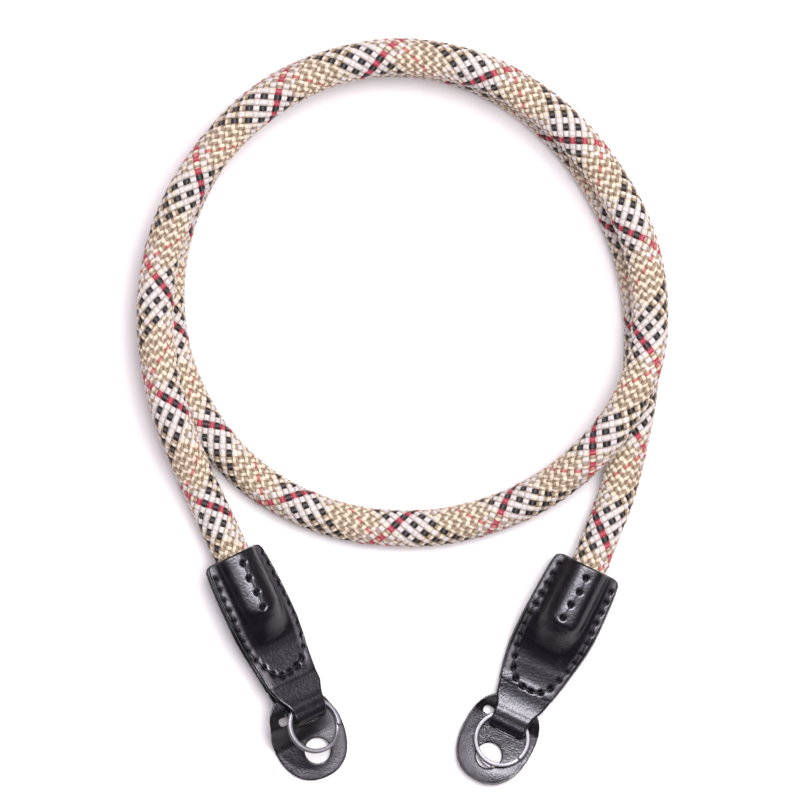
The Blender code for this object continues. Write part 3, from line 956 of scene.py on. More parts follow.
# %% The seams
STITCH_PITCH = 3.45
CENTRE_PITCH = 4.6
Q_SCALE = (1, 10)
MEASURING_POINTS = 200
SeamPoint = namedtuple("SeamPoint", "t q")
SEAMS = {
    "left": table_of(SeamPoint, [
        (4.4, -0.887), (10.8, -0.925), (17.1, -0.89), (23.2, -0.9), (29.8, -0.863), (35.7, -0.688),
        (38.3, -0.487), (39.2, -0.25), (39.0, 0.113), (37.4, 0.6), (35.0, 0.812), (28.9, 0.93),
        (21.9, 0.935), (15.0, 0.93), (9.0, 0.93), (3.5, 0.93),
    ]),
    "right": table_of(SeamPoint, [
        (3.3, -0.8), (9.7, -0.825), (16.0, -0.85), (22.8, -0.85), (29.4, -0.812), (35.7, -0.712),
        (38.8, -0.6), (40.7, -0.325), (41.6, 0.012), (41.2, 0.375), (39.6, 0.65), (37.0, 0.763),
        (30.7, 0.838), (24.1, 0.863), (16.9, 0.85), (10.3, 0.863), (4.0, 0.875),
    ]),
}
CENTRE_ROWS = {
    "left": table_of(SeamPoint, [(3.6, -0.05), (8.4, -0.075), (13.2, -0.05), (18.0, -0.075)]),
    "right": table_of(SeamPoint, [(3.6, 0.05), (8.2, 0.05), (13.0, 0.0), (17.3, -0.025)]),
}


def seam_line(points, count):
    """`count` even places (t, q) on the curve through the points, where one of q counts for 10 mm."""
    return smooth_curve(np.array(points) * Q_SCALE, count) / Q_SCALE


def seam_holes(points, pitch):
    """Places (t, q) about a pitch apart along the seam, at both its ends too."""
    length = distances_along(seam_line(points, MEASURING_POINTS) * Q_SCALE)[-1]
    return seam_line(points, round(length / pitch) + 1)


def holes_of(end):
    return seam_holes(SEAMS[end.side], STITCH_PITCH), seam_holes(CENTRE_ROWS[end.side], CENTRE_PITCH)


for end in ENDS:
    print(end.side, "holes", len(holes_of(end)[0]), "and", len(holes_of(end)[1]))

# %% [markdown]
# ## The leather's grain
#
# The same grain is used on every leather piece, so it is a node group, which is built once and
# taken by each leather: fine cells for the pores, a slower noise for the hand of the hide, and a
# few long wrinkles. Its second output is where the dye has worn a little on the ridges.

# %% The leather's grain
WRINKLES_PER_METRE = 700.0
WRINKLE_PUSH = 1.2
CREASED_PER_METRE = 110.0


def new_group(name, inputs, outputs):
    """An empty node group: (group, its input node, its output node)."""
    group = bpy.data.node_groups.new(name, "ShaderNodeTree")
    for label, kind, value in inputs:
        socket = group.interface.new_socket(label, in_out="INPUT", socket_type=kind)
        socket.default_value = value
    for label, kind in outputs:
        group.interface.new_socket(label, in_out="OUTPUT", socket_type=kind)
    return group, group.nodes.new("NodeGroupInput"), group.nodes.new("NodeGroupOutput")


def warped(tree, place, scale, amount):
    """The place pushed aside by a noise, so that what is drawn with it runs unevenly."""
    colour = node(tree, "ShaderNodeTexNoise", {"Vector": place, "Scale": scale}).outputs["Color"]
    push = node(tree, "ShaderNodeVectorMath", {0: colour, 1: (amount,) * 3}, operation="MULTIPLY")
    return node(tree, "ShaderNodeVectorMath", {0: place, 1: push.outputs[0]}, operation="ADD").outputs[0]


def wrinkles(tree, place, pores):
    """Low lines between big uneven cells, faded in only where a slow noise is high."""
    cells = {
        "Vector": warped(tree, place, WRINKLES_PER_METRE, WRINKLE_PUSH * MM),
        "Scale": times(tree, pores, 0.3),
    }
    to_edge = node(tree, "ShaderNodeTexVoronoi", cells, feature="DISTANCE_TO_EDGE").outputs[0]
    where = remap(tree, noise(tree, place, CREASED_PER_METRE), 0.5, 0.7)
    return times(tree, where, 0.7, remap(tree, to_edge, 0.0, 0.12))


def grain_group():
    """Height of the hide's grain at a place, and the patches where the dye has worn a little."""
    group, taken, given = new_group(
        "leather_grain",
        [("Place", "NodeSocketVector", (0, 0, 0)), ("Pores per metre", "NodeSocketFloat", 1500.0)],
        [("Height", "NodeSocketFloat"), ("Wear", "NodeSocketFloat")],
    )
    place, pores = taken.outputs["Place"], taken.outputs["Pores per metre"]
    pore_cells = {"Vector": place, "Scale": pores}
    cells = node(group, "ShaderNodeTexVoronoi", pore_cells, feature="SMOOTH_F1").outputs[0]
    fine = noise(group, place, pores, detail=6.0)
    slow = noise(group, place, times(group, pores, 0.1), detail=4.0, distortion=0.6)
    height = plus(group, times(group, cells, 0.55), times(group, fine, 0.7), times(group, slow, 1.1),
                  wrinkles(group, place, pores))
    worn = times(group, remap(group, slow, 0.42, 0.68), remap(group, fine, 0.35, 0.7))
    set_inputs(group, given, {"Height": height, "Wear": worn})
    return group


GRAIN = grain_group()
print("nodes in the grain", len(GRAIN.nodes))

# %% [markdown]
# ## The leather's finish
#
# The hide is dyed black and glossed, and the dye has worn a little with the grain. The margins of
# the ends and one side of each pad are worn rougher by rubbing and carry a painted sheen of lighter
# grey, every cut edge is burnished darker, and painted shade makes the holes and seam grooves
# nearly black. These three are attributes of the mesh, worked out with its points, so they follow
# the shape by themselves.

# %% The leather's finish
# painted sheen: a lighter grey for light reflected on the rubbing's margins and on one side of each pad
PAINTED_SHEEN_GREY = (0.1, 0.094, 0.105, 1)
# painted shade, near black, in the holes and along the seam grooves
HOLE_PAINTED_SHADE = (0.003, 0.003, 0.004, 1)
WORN_ROUGHER = 0.12
RUBBED_ROUGHER = 0.22
GRAIN_DEPTH = 0.25


def leather_material(name, face, worn, burnished, roughness, pores, bump):
    """Dyed leather: its face and worn colour by the grain, then a painted sheen where it is worn by
    rubbing, burnished edges, and painted shade in the holes and grooves.
    """
    material, tree, shader = new_material(name)
    grain = node(tree, "ShaderNodeGroup", node_tree=GRAIN)
    set_inputs(tree, grain, {"Place": object_place(tree), "Pores per metre": pores})
    height, wear = grain.outputs["Height"], grain.outputs["Wear"]
    rubbed = attribute(tree, "rubbed")
    colour = mix_colour(tree, wear, (*face, 1), (*worn, 1))
    # the band worn by rubbing takes the painted sheen grey where the grain is high
    colour = mix_colour(tree, times(tree, rubbed, remap(tree, height, 0.6, 1.4)), colour, PAINTED_SHEEN_GREY)
    colour = mix_colour(tree, attribute(tree, "edge"), colour, (*burnished, 1))
    # painted shade darkens the holes and the seam grooves
    colour = mix_colour(tree, attribute(tree, "painted_hole_shade"), colour, HOLE_PAINTED_SHADE)
    rough = remap(tree, wear, 0.0, 1.0, roughness, roughness + WORN_ROUGHER)
    set_inputs(tree, shader, {
        "Base Color": colour,
        "Roughness": plus(tree, rough, times(tree, rubbed, RUBBED_ROUGHER)),
        "Normal": bumped(tree, height, bump, GRAIN_DEPTH * MM),
    })
    return material


black_leather = leather_material(
    "black_leather",
    face=(0.0055, 0.005, 0.0075),
    worn=(0.012, 0.011, 0.014),
    burnished=(0.004, 0.004, 0.005),
    roughness=0.32,
    pores=1500.0,
    bump=0.25,
)
pad_leather = leather_material(
    "pad_leather",
    face=(0.01, 0.009, 0.011),
    worn=(0.032, 0.029, 0.034),
    burnished=(0.006, 0.005, 0.006),
    roughness=0.31,
    pores=2200.0,
    bump=0.35,
)
print("leathers", black_leather.name, pad_leather.name)

# %% [markdown]
# ## The leather skin
#
# The strip is one closed skin: rings of points run round its section, over the outer face, round
# the edge, back along the inner face and round the other edge. The edges and the lips of the mouth
# are rounded. Where the bulge ends and along the neck the front layer's heights are averaged with
# those of the rows beside them, because leather bends there in one soft slope.

# %% The leather skin
OUTER_COLUMNS = 92
INNER_COLUMNS = 30
EDGE_COLUMNS = 7
LAYER_ROWS = 123
LOOP_ROWS = 64
CORNER_CROWDING = 0.35
Easing = namedtuple("Easing", "rows start stop")
EASINGS = [Easing(rows=9, start=18.5, stop=26), Easing(rows=6, start=41, stop=48)]
EASING_FADE = 2


def strip_rows():
    """Rows (t, rise, face, thickness share) from the front mouth round the ring to the back mouth."""
    lean = np.radians([12, 30, 50, 70, 90])
    lip_t, lip_thick = LEATHER / 2 * (1 - np.cos(lean)), np.sin(lean)
    layer_t = np.linspace(1.0, SEAM_END, LAYER_ROWS + 1)[:-1]
    t, thick = np.r_[lip_t, layer_t], np.r_[lip_thick, np.ones(LAYER_ROWS)]
    front = np.stack([t, np.full(len(t), LAYER_OFFSET), np.ones(len(t)), thick], axis=1)
    back = (front * (1, -1, -1, 1))[::-1]
    loop_t, loop_rise = smooth_curve(RING_LOOP, LOOP_ROWS).T
    loop = np.stack([loop_t, loop_rise, np.zeros(LOOP_ROWS), np.ones(LOOP_ROWS)], axis=1)
    return np.concatenate([front, loop, back])


def skin_columns():
    """(share, outwards, up) round the section: outer face, one edge, inner face, the other edge.

    The outer face's columns stand closer together towards its edges, by a cubic.
    """
    even = np.linspace(-1, 1, OUTER_COLUMNS)
    outer = even * (1 + CORNER_CROWDING - CORNER_CROWDING * even**2)
    inner = np.linspace(1, -1, INNER_COLUMNS)
    turn = np.pi * np.arange(1, EDGE_COLUMNS + 1) / (EDGE_COLUMNS + 1)
    share = np.r_[outer, np.ones(EDGE_COLUMNS), inner, -np.ones(EDGE_COLUMNS)]
    out = np.r_[0 * outer, np.sin(turn), 0 * inner, -np.sin(turn)]
    up = np.r_[1 + 0 * outer, np.cos(turn), -1 + 0 * inner, -np.cos(turn)]
    return share, out, up


def averaged(height, count):
    """Each row's heights averaged with those of `count` rows on either side of it."""
    span = np.pad(height, ((count, count), (0, 0)), mode="edge")
    return np.mean([span[k : k + len(height)] for k in range(2 * count + 1)], axis=0)


def eased(middle, rows):
    """The surface with the front layer's heights averaged between the easings' starts and stops."""
    result = middle.copy()
    height, t, on_front = result[..., 2], rows[:, 0], rows[:, 1] > 0
    for easing in EASINGS:
        begun = smoothstep((t - easing.start) / EASING_FADE)
        over = smoothstep((t - easing.stop) / EASING_FADE)
        height += (averaged(height, easing.rows) - height) * (begun * (1 - over) * on_front)[:, None]
    return result


def leather_skin(end):
    """(points, normals, shares q) of the skin: middle surface + half thickness x section's directions."""
    rows = strip_rows()
    t, rise, face, thick = (rows[:, k, None] for k in range(4))
    share, out, up = skin_columns()
    q = share * (1 - LEATHER / 2 / half_width_at(end, t))
    middle = eased(strip_middle(end, t, rise, face, q), rows)
    beyond, before = (strip_middle(end, t, rise, face, q + step) for step in (SMALL_Q, -SMALL_Q))
    across = unit(beyond - before)
    normal = unit(np.cross(np.gradient(middle, axis=0), across))
    half = LEATHER / 2 * thick[..., None]
    return middle + half * (out[:, None] * across + up[:, None] * normal), normal, q


print("leather skin", len(strip_rows()), "rows of", len(skin_columns()[0]), "points")

# %% [markdown]
# ## What is pressed into the leather
#
# The thread pulls a groove into the leather, each hole is a deep pit, and the edge is bevelled.
# All of these are depths by the distance to a seam, a hole or the edge, mostly as a bell curve,
# and the skin is pushed in by their sum. The same distances say where painted shade darkens a hole
# and the groove, and where the margin is worn rougher by rubbing and given a painted sheen. On the
# front the leather also stands off the rope in a low shoulder.

# %% What is pressed into the leather
Bell = namedtuple("Bell", "height width power")
GROOVE_DEPTH = 0.16
GROOVE = Bell(height=GROOVE_DEPTH, width=0.42, power=2)
PIT = Bell(height=1.0, width=0.68, power=2)
GROOVE_PAINTED_SHADE = Bell(height=0.3, width=0.35, power=2)
PIT_PAINTED_SHADE = Bell(height=0.97, width=0.68, power=4)
SHOULDER_WIDTH = 1.9
SHOULDER_FADE = 4
BEVEL_WIDTH = 2.3
BEVEL_CURVE = 0.055
EDGE_WAY_STRETCH = 1.15
HEIGHT_COUNTS_FOR = 0.33
RUBBED_SHEEN_WIDTH = 2.2
RUBBED_SHEEN_FADE = 1.4
RUBBED_SHEEN_END = 36
RUBBED_SHEEN_END_FADE = 6
RUBBED_SHEEN_FULL_FROM = 18
RUBBED_SHEEN_FULL_FADE = 8
SEAM_MARKS = 260


def bell(shape, distance):
    """height x e^-(distance / width)^power"""
    return shape.height * np.exp(-((distance / shape.width) ** shape.power))


def least_distance(points, marks):
    """For each point the distance to the nearest mark, where heights count for a third."""
    flat, marks = points.reshape(-1, 3) * (1, 1, HEIGHT_COUNTS_FOR), marks * (1, 1, HEIGHT_COUNTS_FOR)
    near = np.full(len(flat), np.inf)
    for mark in marks:
        near = np.minimum(near, ((flat - mark) ** 2).sum(axis=1))
    return np.sqrt(near).reshape(points.shape[:-1])


def pressings(end, layer, outside, t, q):
    """(depth, painted hole shade, rubbing and painted sheen) at the points of one layer's outside."""
    seam, centre_row = holes_of(end)
    groove = least_distance(outside, outer_face(end, layer, *seam_line(seam, SEAM_MARKS).T)[0])
    hole = least_distance(outside, outer_face(end, layer, *np.concatenate([seam, centre_row]).T)[0])
    to_edge = (1 - np.abs(q)) * half_width_at(end, t) * EDGE_WAY_STRETCH
    bevel = BEVEL_CURVE * np.clip(BEVEL_WIDTH - to_edge, 0, None) ** 2
    depth = bell(GROOVE, groove) + bell(PIT, hole) + bevel
    if layer > 0:
        over_rope = 1 - smoothstep((t - POCKET_END) / SHOULDER_FADE)
        shoulder = Bell(height=end.shoulder, width=SHOULDER_WIDTH, power=2)
        depth -= bell(shoulder, outside[..., 1] - end.shoulder_v) * over_rope
    # black is painted shade in the holes and along the groove of the seam
    black = np.clip(bell(PIT_PAINTED_SHADE, hole) + bell(GROOVE_PAINTED_SHADE, groove), 0, 1)
    # the band along the margins worn by rubbing: rougher, with a painted sheen of lighter grey
    at_margin = 1 - smoothstep((to_edge - RUBBED_SHEEN_WIDTH) / RUBBED_SHEEN_FADE)
    above_neck = 1 - smoothstep((t - RUBBED_SHEEN_END) / RUBBED_SHEEN_END_FADE)
    fuller = 0.5 + 0.5 * smoothstep((t - RUBBED_SHEEN_FULL_FROM) / RUBBED_SHEEN_FULL_FADE)
    return depth, black, at_margin * above_neck * fuller * (1 - black)


print("a pit is", PIT.height, "mm deep and a groove", GROOVE.height)

# %% [markdown]
# ## The leather ends
#
# The pressed skin is a tube of rings that is still open at its two mouth lips. Each lip is closed
# flat by triangles from the outer face's points to the inner ones below them, and by a small fan
# at each rounded edge, so the strip is one watertight solid.

# %% The leather ends
BURNISH_START = 0.97


def fan(ring):
    """Triangles from the first point of an open row of points to each two that follow."""
    return np.stack([np.full(len(ring) - 2, ring[0]), ring[1:-1], ring[2:]], axis=1)


def mouth_cap(columns):
    """Triangles that close the first ring of the skin, between its outer and its inner face."""
    first_inner = OUTER_COLUMNS + EDGE_COLUMNS
    last_inner = first_inner + INNER_COLUMNS - 1
    top = np.arange(OUTER_COLUMNS)
    below = np.round(np.interp(top, [0, OUTER_COLUMNS - 1], [last_inner, first_inner])).astype(int)
    hanging = np.stack([top[:-1], top[1:], below[1:]], axis=1)
    standing = np.stack([top[:-1], below[1:], below[:-1]], axis=1)[below[1:] != below[:-1]]
    right_edge = fan(np.arange(OUTER_COLUMNS - 1, first_inner + 1))
    left_edge = fan(np.r_[np.arange(last_inner, columns), 0])
    return np.concatenate([hanging, standing, right_edge, left_edge])


def leather_end(end):
    skin, normal, q = leather_skin(end)
    rows = strip_rows()
    depth, black, rubbed = (np.zeros(q.shape) for _ in range(3))
    for layer in (1, -1):
        chosen = np.ix_(rows[:, 2] == layer, range(OUTER_COLUMNS))
        t = rows[rows[:, 2] == layer, 0, None]
        depth[chosen], black[chosen], rubbed[chosen] = pressings(end, layer, skin[chosen], t, q[chosen])
    skin = skin - depth[..., None] * normal
    count, columns = q.shape
    # the rings run the other way round than a tube's, so every face is turned to point outwards
    quads = ring_quads(count, columns)[:, ::-1]
    cap = mouth_cap(columns)
    caps = np.concatenate([cap, cap[:, ::-1] + (count - 1) * columns])
    points = to_strap(end, skin).reshape(-1, 3)
    piece = new_piece(f"{end.side}_leather", points, quads, black_leather, triangles=caps)
    share, _, up = skin_columns()
    rounded = np.sqrt(1 - np.abs(up)) + np.clip((np.abs(share) - BURNISH_START) / (1 - BURNISH_START), 0, 1)
    at_lip = 2 * (1 - rows[:, 3, None])
    add_value(piece, "edge", np.clip(rounded + at_lip, 0, 1))
    # painted shade in the holes and the seam grooves
    add_value(piece, "painted_hole_shade", black)
    # the rubbing's band on the margins: rougher, and with a painted sheen
    add_value(piece, "rubbed", rubbed)
    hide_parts(f"{end.side}_leather_end")
    return piece


leathers = [leather_end(end) for end in ENDS]
print("leather", [len(piece.data.polygons) for piece in leathers], "faces")

# %% [markdown]
# ## The stitches
#
# A black waxed thread lies in the groove from hole to hole, on the front and on the back. Each
# stitch is a short round tube that arches a little and dives into a hole at both its ends. Each
# has the same grid of points, so the stitches of one layer are stacked and become one piece.

# %% The thread
def thread_material():
    material, tree, shader = new_material("waxed_thread")
    fibre = noise(tree, object_place(tree), 3500.0)
    set_inputs(tree, shader, {
        "Base Color": mix_colour(tree, fibre, (0.003, 0.003, 0.004, 1), (0.012, 0.011, 0.012, 1)),
        "Normal": bumped(tree, fibre, 0.4, 0.1 * MM),
        "Roughness": 0.6,
    })
    return material


thread = thread_material()
print("thread", thread.name)

# %% The stitches
THREAD_RADIUS = 0.25
THREAD_ROWS = 11
THREAD_COLUMNS = 10
THREAD_LIFT = 0.02
THREAD_ARCH = 0.1
THREAD_DIVE = 0.45
THREAD_NARROWING = 0.3
THREAD_REACH = 0.485


def stitch_rings(end, face, start, stop):
    """The rings of one stitch: a circle carried along a line that arches, and dives as s^6."""
    s = np.linspace(-1, 1, THREAD_ROWS)[:, None]
    around = circle_angles(THREAD_COLUMNS)[None, :, None]
    lift = THREAD_LIFT - GROOVE_DEPTH + THREAD_ARCH * (1 - s**2) - THREAD_DIVE * s**6
    radius = THREAD_RADIUS * (1 - THREAD_NARROWING * s**4)
    middle = (start + stop) / 2 + s * (stop - start) * THREAD_REACH
    point, out = outer_face(end, face, middle[:, 0], middle[:, 1])
    line = point + lift * out
    along = unit(np.gradient(line, axis=0))
    aside = unit(np.cross(out, along))
    over = np.cross(along, aside)
    out_from_line = np.cos(around) * aside[:, None] + np.sin(around) * over[:, None]
    return line[:, None] + radius[:, None] * out_from_line


def stitches(end, face, material):
    """All the stitches of one layer as one piece: a tube between each two holes of each row."""
    tubes = np.stack([
        stitch_rings(end, face, start, stop)
        for holes in holes_of(end)
        for start, stop in zip(holes[:-1], holes[1:])
    ])
    number, row_count, columns = tubes.shape[:3]
    points = to_strap(end, tubes).reshape(number, -1, 3)
    centres = np.stack([points[:, :columns].mean(axis=1), points[:, -columns:].mean(axis=1)], axis=1)
    points = np.concatenate([points, centres], axis=1)
    per_tube = points.shape[1]
    shift = (np.arange(number) * per_tube)[:, None, None]
    quads = (ring_quads(row_count, columns)[None] + shift).reshape(-1, 4)
    fans = (cap_fans(row_count, columns, per_tube - 2)[None] + shift).reshape(-1, 3)
    label = "front" if face > 0 else "back"
    piece = new_piece(f"{end.side}_{label}_stitches", points.reshape(-1, 3), quads, material, triangles=fans)
    return number


for end in ENDS:
    print(end.side, "stitches on the front and the back", [stitches(end, face, thread) for face in (1, -1)])

# %% [markdown]
# ## The split rings
#
# A split ring is two turns of flattened wire, the upper one coming down to the lower one in a
# short dogleg. The wire's section is a rounded rectangle, kept upright in the ring's own tilt, and
# is carried round an arc whose radius and height change with the angle. On the right ring the free
# end of the lower turn stands a little away.

# %% The steel
def steel_material():
    """Satin steel: one grey for the whole ring, with slow streaks in its roughness."""
    material, tree, shader = new_material("satin_steel")
    streak = noise(tree, object_place(tree), 300.0, detail=3.0)
    set_inputs(tree, shader, {
        "Base Color": (0.25, 0.242, 0.248, 1),
        "Metallic": 1.0,
        "Roughness": remap(tree, streak, 0.3, 0.7, 0.44, 0.54),
    })
    return material


steel = steel_material()
print("steel", steel.name)

# %% The split rings
RING_RADIUS = 7.83
WIRE_WIDTH = 1.25
WIRE_HEIGHT = 0.85
WIRE_SQUARENESS = 4
WIRE_COLUMNS = 28
CUT_END_SHARE = 0.85
TURN_GAP = 0.15
RING_START_DEG = -6
RING_SWEEP_DEG = 660
RING_STEP_DEG = 3.0
DOGLEG_DEG = (300, 360)
FLARE_DEG = 55
RING_RISE = 0.5


def superellipse(angle, semi_a, semi_b, exponent):
    """Distance from the centre to the outline |a/semi_a|^n + |b/semi_b|^n = 1, by angle."""
    a, b = np.abs(np.cos(angle) / semi_a), np.abs(np.sin(angle) / semi_b)
    return (a**exponent + b**exponent) ** (-1 / exponent)


def wire_section():
    """(aside, up) round the wire: a superellipse of a square, stretched to width and height."""
    angle = circle_angles(WIRE_COLUMNS)
    reach = superellipse(angle, 1, 1, WIRE_SQUARENESS)
    return WIRE_WIDTH / 2 * reach * np.cos(angle), WIRE_HEIGHT / 2 * reach * np.sin(angle)


def split_ring(end, material):
    """The wire carried round: first the lower turn with its flare, then the dogleg and the upper one."""
    degrees = np.arange(0, RING_SWEEP_DEG + 1, RING_STEP_DEG)
    flare = end.flare * (1 - smoothstep(degrees / FLARE_DEG))
    climb = smoothstep((degrees - DOGLEG_DEG[0]) / (DOGLEG_DEG[1] - DOGLEG_DEG[0]))
    rise = RING_RISE + (climb - 0.5) * (WIRE_HEIGHT + TURN_GAP)
    angle = np.radians(RING_START_DEG + degrees)
    aside, up = wire_section()
    # only the first and the last ring are smaller, so that the cut ends have a soft rim
    share = np.r_[CUT_END_SHARE, np.ones(len(degrees) - 2), CUT_END_SHARE][:, None]
    radius = (RING_RADIUS + flare)[:, None] + aside * share
    lift = rise[:, None] + up * share
    out_t, out_v = radius * np.cos(angle)[:, None], -radius * np.sin(angle)[:, None]
    rolled_v, rolled_z = turned(-end.roll, out_v, lift)
    z = NECK_HEIGHT + end.neck_lift + rolled_z
    rings = np.stack([end.ring_t + out_t, end.ring_v + rolled_v, z], axis=-1)
    piece = lofted(f"{end.side}_ring", to_strap(end, rings), material)
    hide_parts(f"{end.side}_split_ring")
    return piece


rings = [split_ring(end, steel) for end in ENDS]
print("rings", [len(piece.data.polygons) for piece in rings], "faces")

# %% [markdown]
# ## The protector pads' outlines
#
# A pad is drawn flat in its own frame: a runs down it from the round lug hole, b across it. Its
# outline is two half superellipses. Its slit is held open by the leather and has a small round
# hole at its left end, where the outline is simply the farther of the two shapes at each angle.

# %% The protector pads' outlines
PAD_HALF_WIDTH = 11.15
PAD_MIDDLE = -6.0
PadHalf = namedtuple("PadHalf", "reach exponent")
PAD_UPPER = PadHalf(reach=13.4, exponent=2.5)
PAD_LOWER = PadHalf(reach=14.3, exponent=2.3)
LUG_HOLE_RADIUS = 3.9
SMALL_HOLE_RADIUS = 1.35
SMALL_HOLE_A = -12.0
SMALL_HOLE_B = -7.0
SLIT_HALF_WIDTH = 6.1
SLIT_SHIFT = 0.5
SLIT_ROUNDNESS = 3.0
RIM_POINTS = 320
SLIT_POINTS = 240
LUG_HOLE_POINTS = 72


def slit_lip_t(end):
    """Where the slit's upper lip lies, just above the ring."""
    return end.ring_t - RING_RADIUS - WIRE_WIDTH / 2 - 1.2 * CLEARANCE


def polar(middle_a, middle_b, reach, angle):
    return np.stack([middle_a + reach * np.cos(angle), middle_b + reach * np.sin(angle)], axis=1)


def pad_outline(end):
    angle = circle_angles(RIM_POINTS)
    lower = superellipse(angle, PAD_LOWER.reach, PAD_HALF_WIDTH, PAD_LOWER.exponent)
    upper = superellipse(angle, PAD_UPPER.reach, PAD_HALF_WIDTH, PAD_UPPER.exponent)
    return polar(PAD_MIDDLE, end.pad_shift, np.where(np.cos(angle) > 0, lower, upper), angle)


def slit_outline(end):
    """The slit and its small round hole: a ray meets a circle at along + sqrt(radius^2 - aside^2)."""
    top = slit_lip_t(end) - end.hole_t
    middle, half = (top + end.slit_bottom) / 2, (end.slit_bottom - top) / 2
    angle = circle_angles(SLIT_POINTS)
    reach = superellipse(angle, half, SLIT_HALF_WIDTH, SLIT_ROUNDNESS)
    to_a, to_b = SMALL_HOLE_A - middle, SMALL_HOLE_B - SLIT_SHIFT
    along = to_a * np.cos(angle) + to_b * np.sin(angle)
    aside = to_b * np.cos(angle) - to_a * np.sin(angle)
    meets = (along > 0) & (np.abs(aside) < SMALL_HOLE_RADIUS)
    far = along + np.sqrt(np.clip(SMALL_HOLE_RADIUS**2 - aside**2, 0, None))
    return polar(middle, SLIT_SHIFT, np.where(meets, np.maximum(reach, far), reach), angle)


def pad_outlines(end):
    lug_hole = polar(0, 0, LUG_HOLE_RADIUS, circle_angles(LUG_HOLE_POINTS))
    return [pad_outline(end), lug_hole, slit_outline(end)]


for end in ENDS:
    print(end.side, "pad", np.ptp(pad_outline(end), axis=0).round(1), "mm")

# %% [markdown]
# ## The protector pads' sheet
#
# A filled curve is the easiest way to a flat sheet with holes, and its bevel gives the sheet its
# rounded rims. It is cut into short strips both ways, because a face that spans half the pad
# couldn't bend.

# %% The protector pads' sheet
PAD_THICKNESS = 1.5
PAD_RIM = 0.35
PAD_STEP = 0.6
MERGE_DISTANCE = 0.002


def flat_sheet(outlines):
    """A flat sheet with holes and rounded rims, as a bmesh, from a filled curve."""
    curve = bpy.data.curves.new("sheet", "CURVE")
    curve.dimensions = "2D"
    curve.fill_mode = "BOTH"
    curve.extrude = PAD_THICKNESS / 2 - PAD_RIM
    curve.bevel_depth = PAD_RIM
    curve.bevel_resolution = 2
    curve.offset = -PAD_RIM
    for outline in outlines:
        spline = curve.splines.new("POLY")
        spline.points.add(len(outline) - 1)
        spline.points.foreach_set("co", np.c_[outline, np.zeros(len(outline)), np.ones(len(outline))].ravel())
        spline.use_cyclic_u = True
    guide = bpy.data.objects.new("sheet", curve)
    bpy.context.scene.collection.objects.link(guide)
    evaluated = guide.evaluated_get(bpy.context.evaluated_depsgraph_get())
    shape = bmesh.new()
    shape.from_mesh(evaluated.to_mesh())
    evaluated.to_mesh_clear()
    bpy.data.objects.remove(guide, do_unlink=True)
    bpy.data.curves.remove(curve)
    bmesh.ops.remove_doubles(shape, verts=shape.verts, dist=MERGE_DISTANCE)
    return shape


def cut_in_strips(shape):
    """Cut the sheet's faces every PAD_STEP along both its directions."""
    for axis, direction in enumerate([(1, 0, 0), (0, 1, 0)]):
        reach = [vertex.co[axis] for vertex in shape.verts]
        for place in np.arange(min(reach) + PAD_STEP, max(reach), PAD_STEP):
            bmesh.ops.bisect_plane(
                shape,
                geom=[*shape.verts, *shape.edges, *shape.faces],
                plane_co=[place * part for part in direction],
                plane_no=direction,
                dist=1e-4,
            )


def sheet_arrays(shape):
    """The points and the triangles of a bmesh, which is freed."""
    bmesh.ops.triangulate(shape, faces=shape.faces)
    mesh = bpy.data.meshes.new("sheet")
    shape.to_mesh(mesh)
    shape.free()
    points = np.empty(3 * len(mesh.vertices), np.float32)
    corners = np.empty(len(mesh.loops), np.int32)
    mesh.vertices.foreach_get("co", points)
    mesh.loops.foreach_get("vertex_index", corners)
    bpy.data.meshes.remove(mesh)
    return points.reshape(-1, 3).astype(float), corners.reshape(-1, 3)


print("pad sheets are cut every", PAD_STEP, "mm")

# %% [markdown]
# ## The protector pads
#
# A real pad isn't flat: it curls or domes with use, and its upper part is bent up to where the
# leather passes through the slit. On the left end the whole upper part is also rolled with the leather and
# settles to the table below the slit. So each point of the flat sheet is given a height, and where
# the sheet is rolled it also moves in a little.

# %% The protector pads
PAD_DROP = 3.8
SETTLES_WITHIN = 0.65
CURL_ABOVE = 0.35
CURL_LENGTH = 12
RIM_DARK = 0.5
RIM_FADE = 0.6
RUBBED_SHEEN_FROM = -0.1


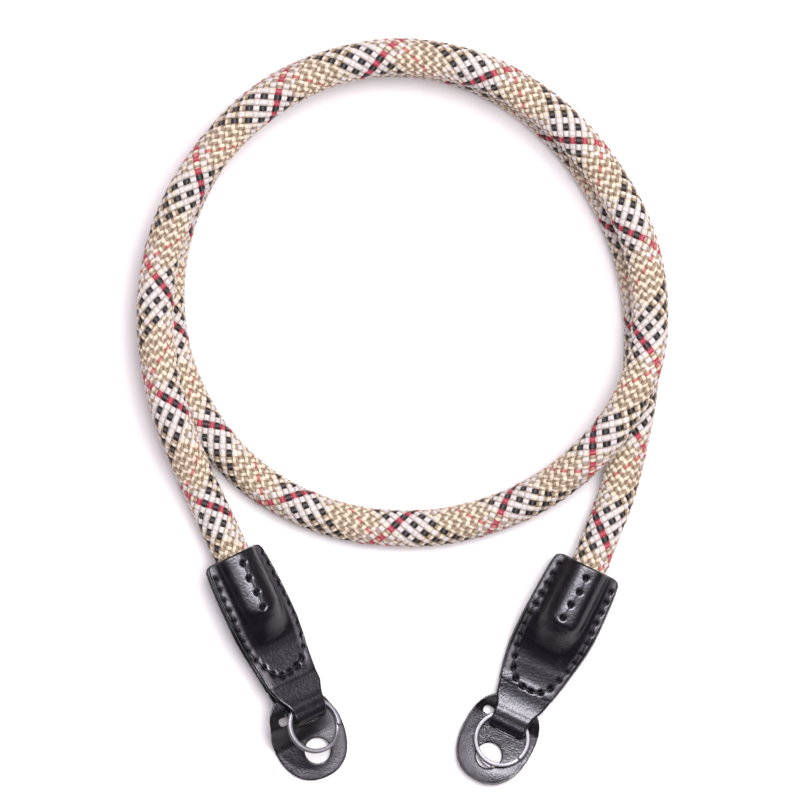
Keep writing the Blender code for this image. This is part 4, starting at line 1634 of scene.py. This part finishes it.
def curl_of(end, flat):
    """Height by the distance from the middle, in half widths, and more on the pad's lower part.

    A dish over 0 curls the rim up by distance^4, and one under 0 is a low dome, 1 - distance^2.
    """
    reach = ((flat[:, 0] - PAD_MIDDLE) ** 2 + flat[:, 1] ** 2) / PAD_HALF_WIDTH**2
    lower = smoothstep((flat[:, 0] - PAD_MIDDLE) / CURL_LENGTH + 0.5)
    curl = end.dish * (reach**2 if end.dish > 0 else reach - 1) * (CURL_ABOVE + (1 - CURL_ABOVE) * lower)
    return np.maximum(curl, 0)


def bend_pad(end, t, v, z):
    """The flat pad's points, raised to the neck above the slit and settling below it."""
    lip = slit_lip_t(end)
    foot = lip + PAD_DROP
    strip = (NECK_HEIGHT - PAD_THICKNESS / 2) * (1 - smoothstep((t - lip) / PAD_DROP))
    share = 1 - smoothstep((t - foot) / (end.hole_t - foot) / SETTLES_WITHIN) if end.roll else 0 * t
    roll = np.radians(end.roll) * share
    rise = strip + np.maximum(end.neck_lift * share - v * np.sin(roll), 0)
    return np.stack([t, v * np.cos(roll), PAD_THICKNESS / 2 + rise + z], axis=1)


def protector_pad(end, material):
    outlines = pad_outlines(end)
    shape = flat_sheet(outlines)
    cut_in_strips(shape)
    flat, triangles = sheet_arrays(shape)
    t, v = turned(end.pad_turn, flat[:, 0], flat[:, 1])
    points = bend_pad(end, end.hole_t + t, end.hole_v + v, flat[:, 2] + curl_of(end, flat))
    no_quads = np.empty((0, 4), int)
    piece = new_piece(f"{end.side}_pad", to_strap(end, points), no_quads, material, triangles=triangles)
    rims = np.concatenate(outlines)
    to_rim = least_distance(flat * (1, 1, 0), np.c_[rims, np.zeros(len(rims))])
    towards = flat[:, :2] @ end.rubbed_side / PAD_HALF_WIDTH
    add_value(piece, "edge", 1 - smoothstep((to_rim - RIM_DARK) / RIM_FADE))
    add_value(piece, "painted_hole_shade", 0 * to_rim)
    # one side of the pad is worn rougher by rubbing and takes a painted sheen of lighter grey
    add_value(piece, "rubbed", smoothstep(towards - RUBBED_SHEEN_FROM))
    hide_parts(f"{end.side}_protector_pad")
    return piece


pads = [protector_pad(end, pad_leather) for end in ENDS]
print("pads", [len(piece.data.polygons) for piece in pads], "faces")
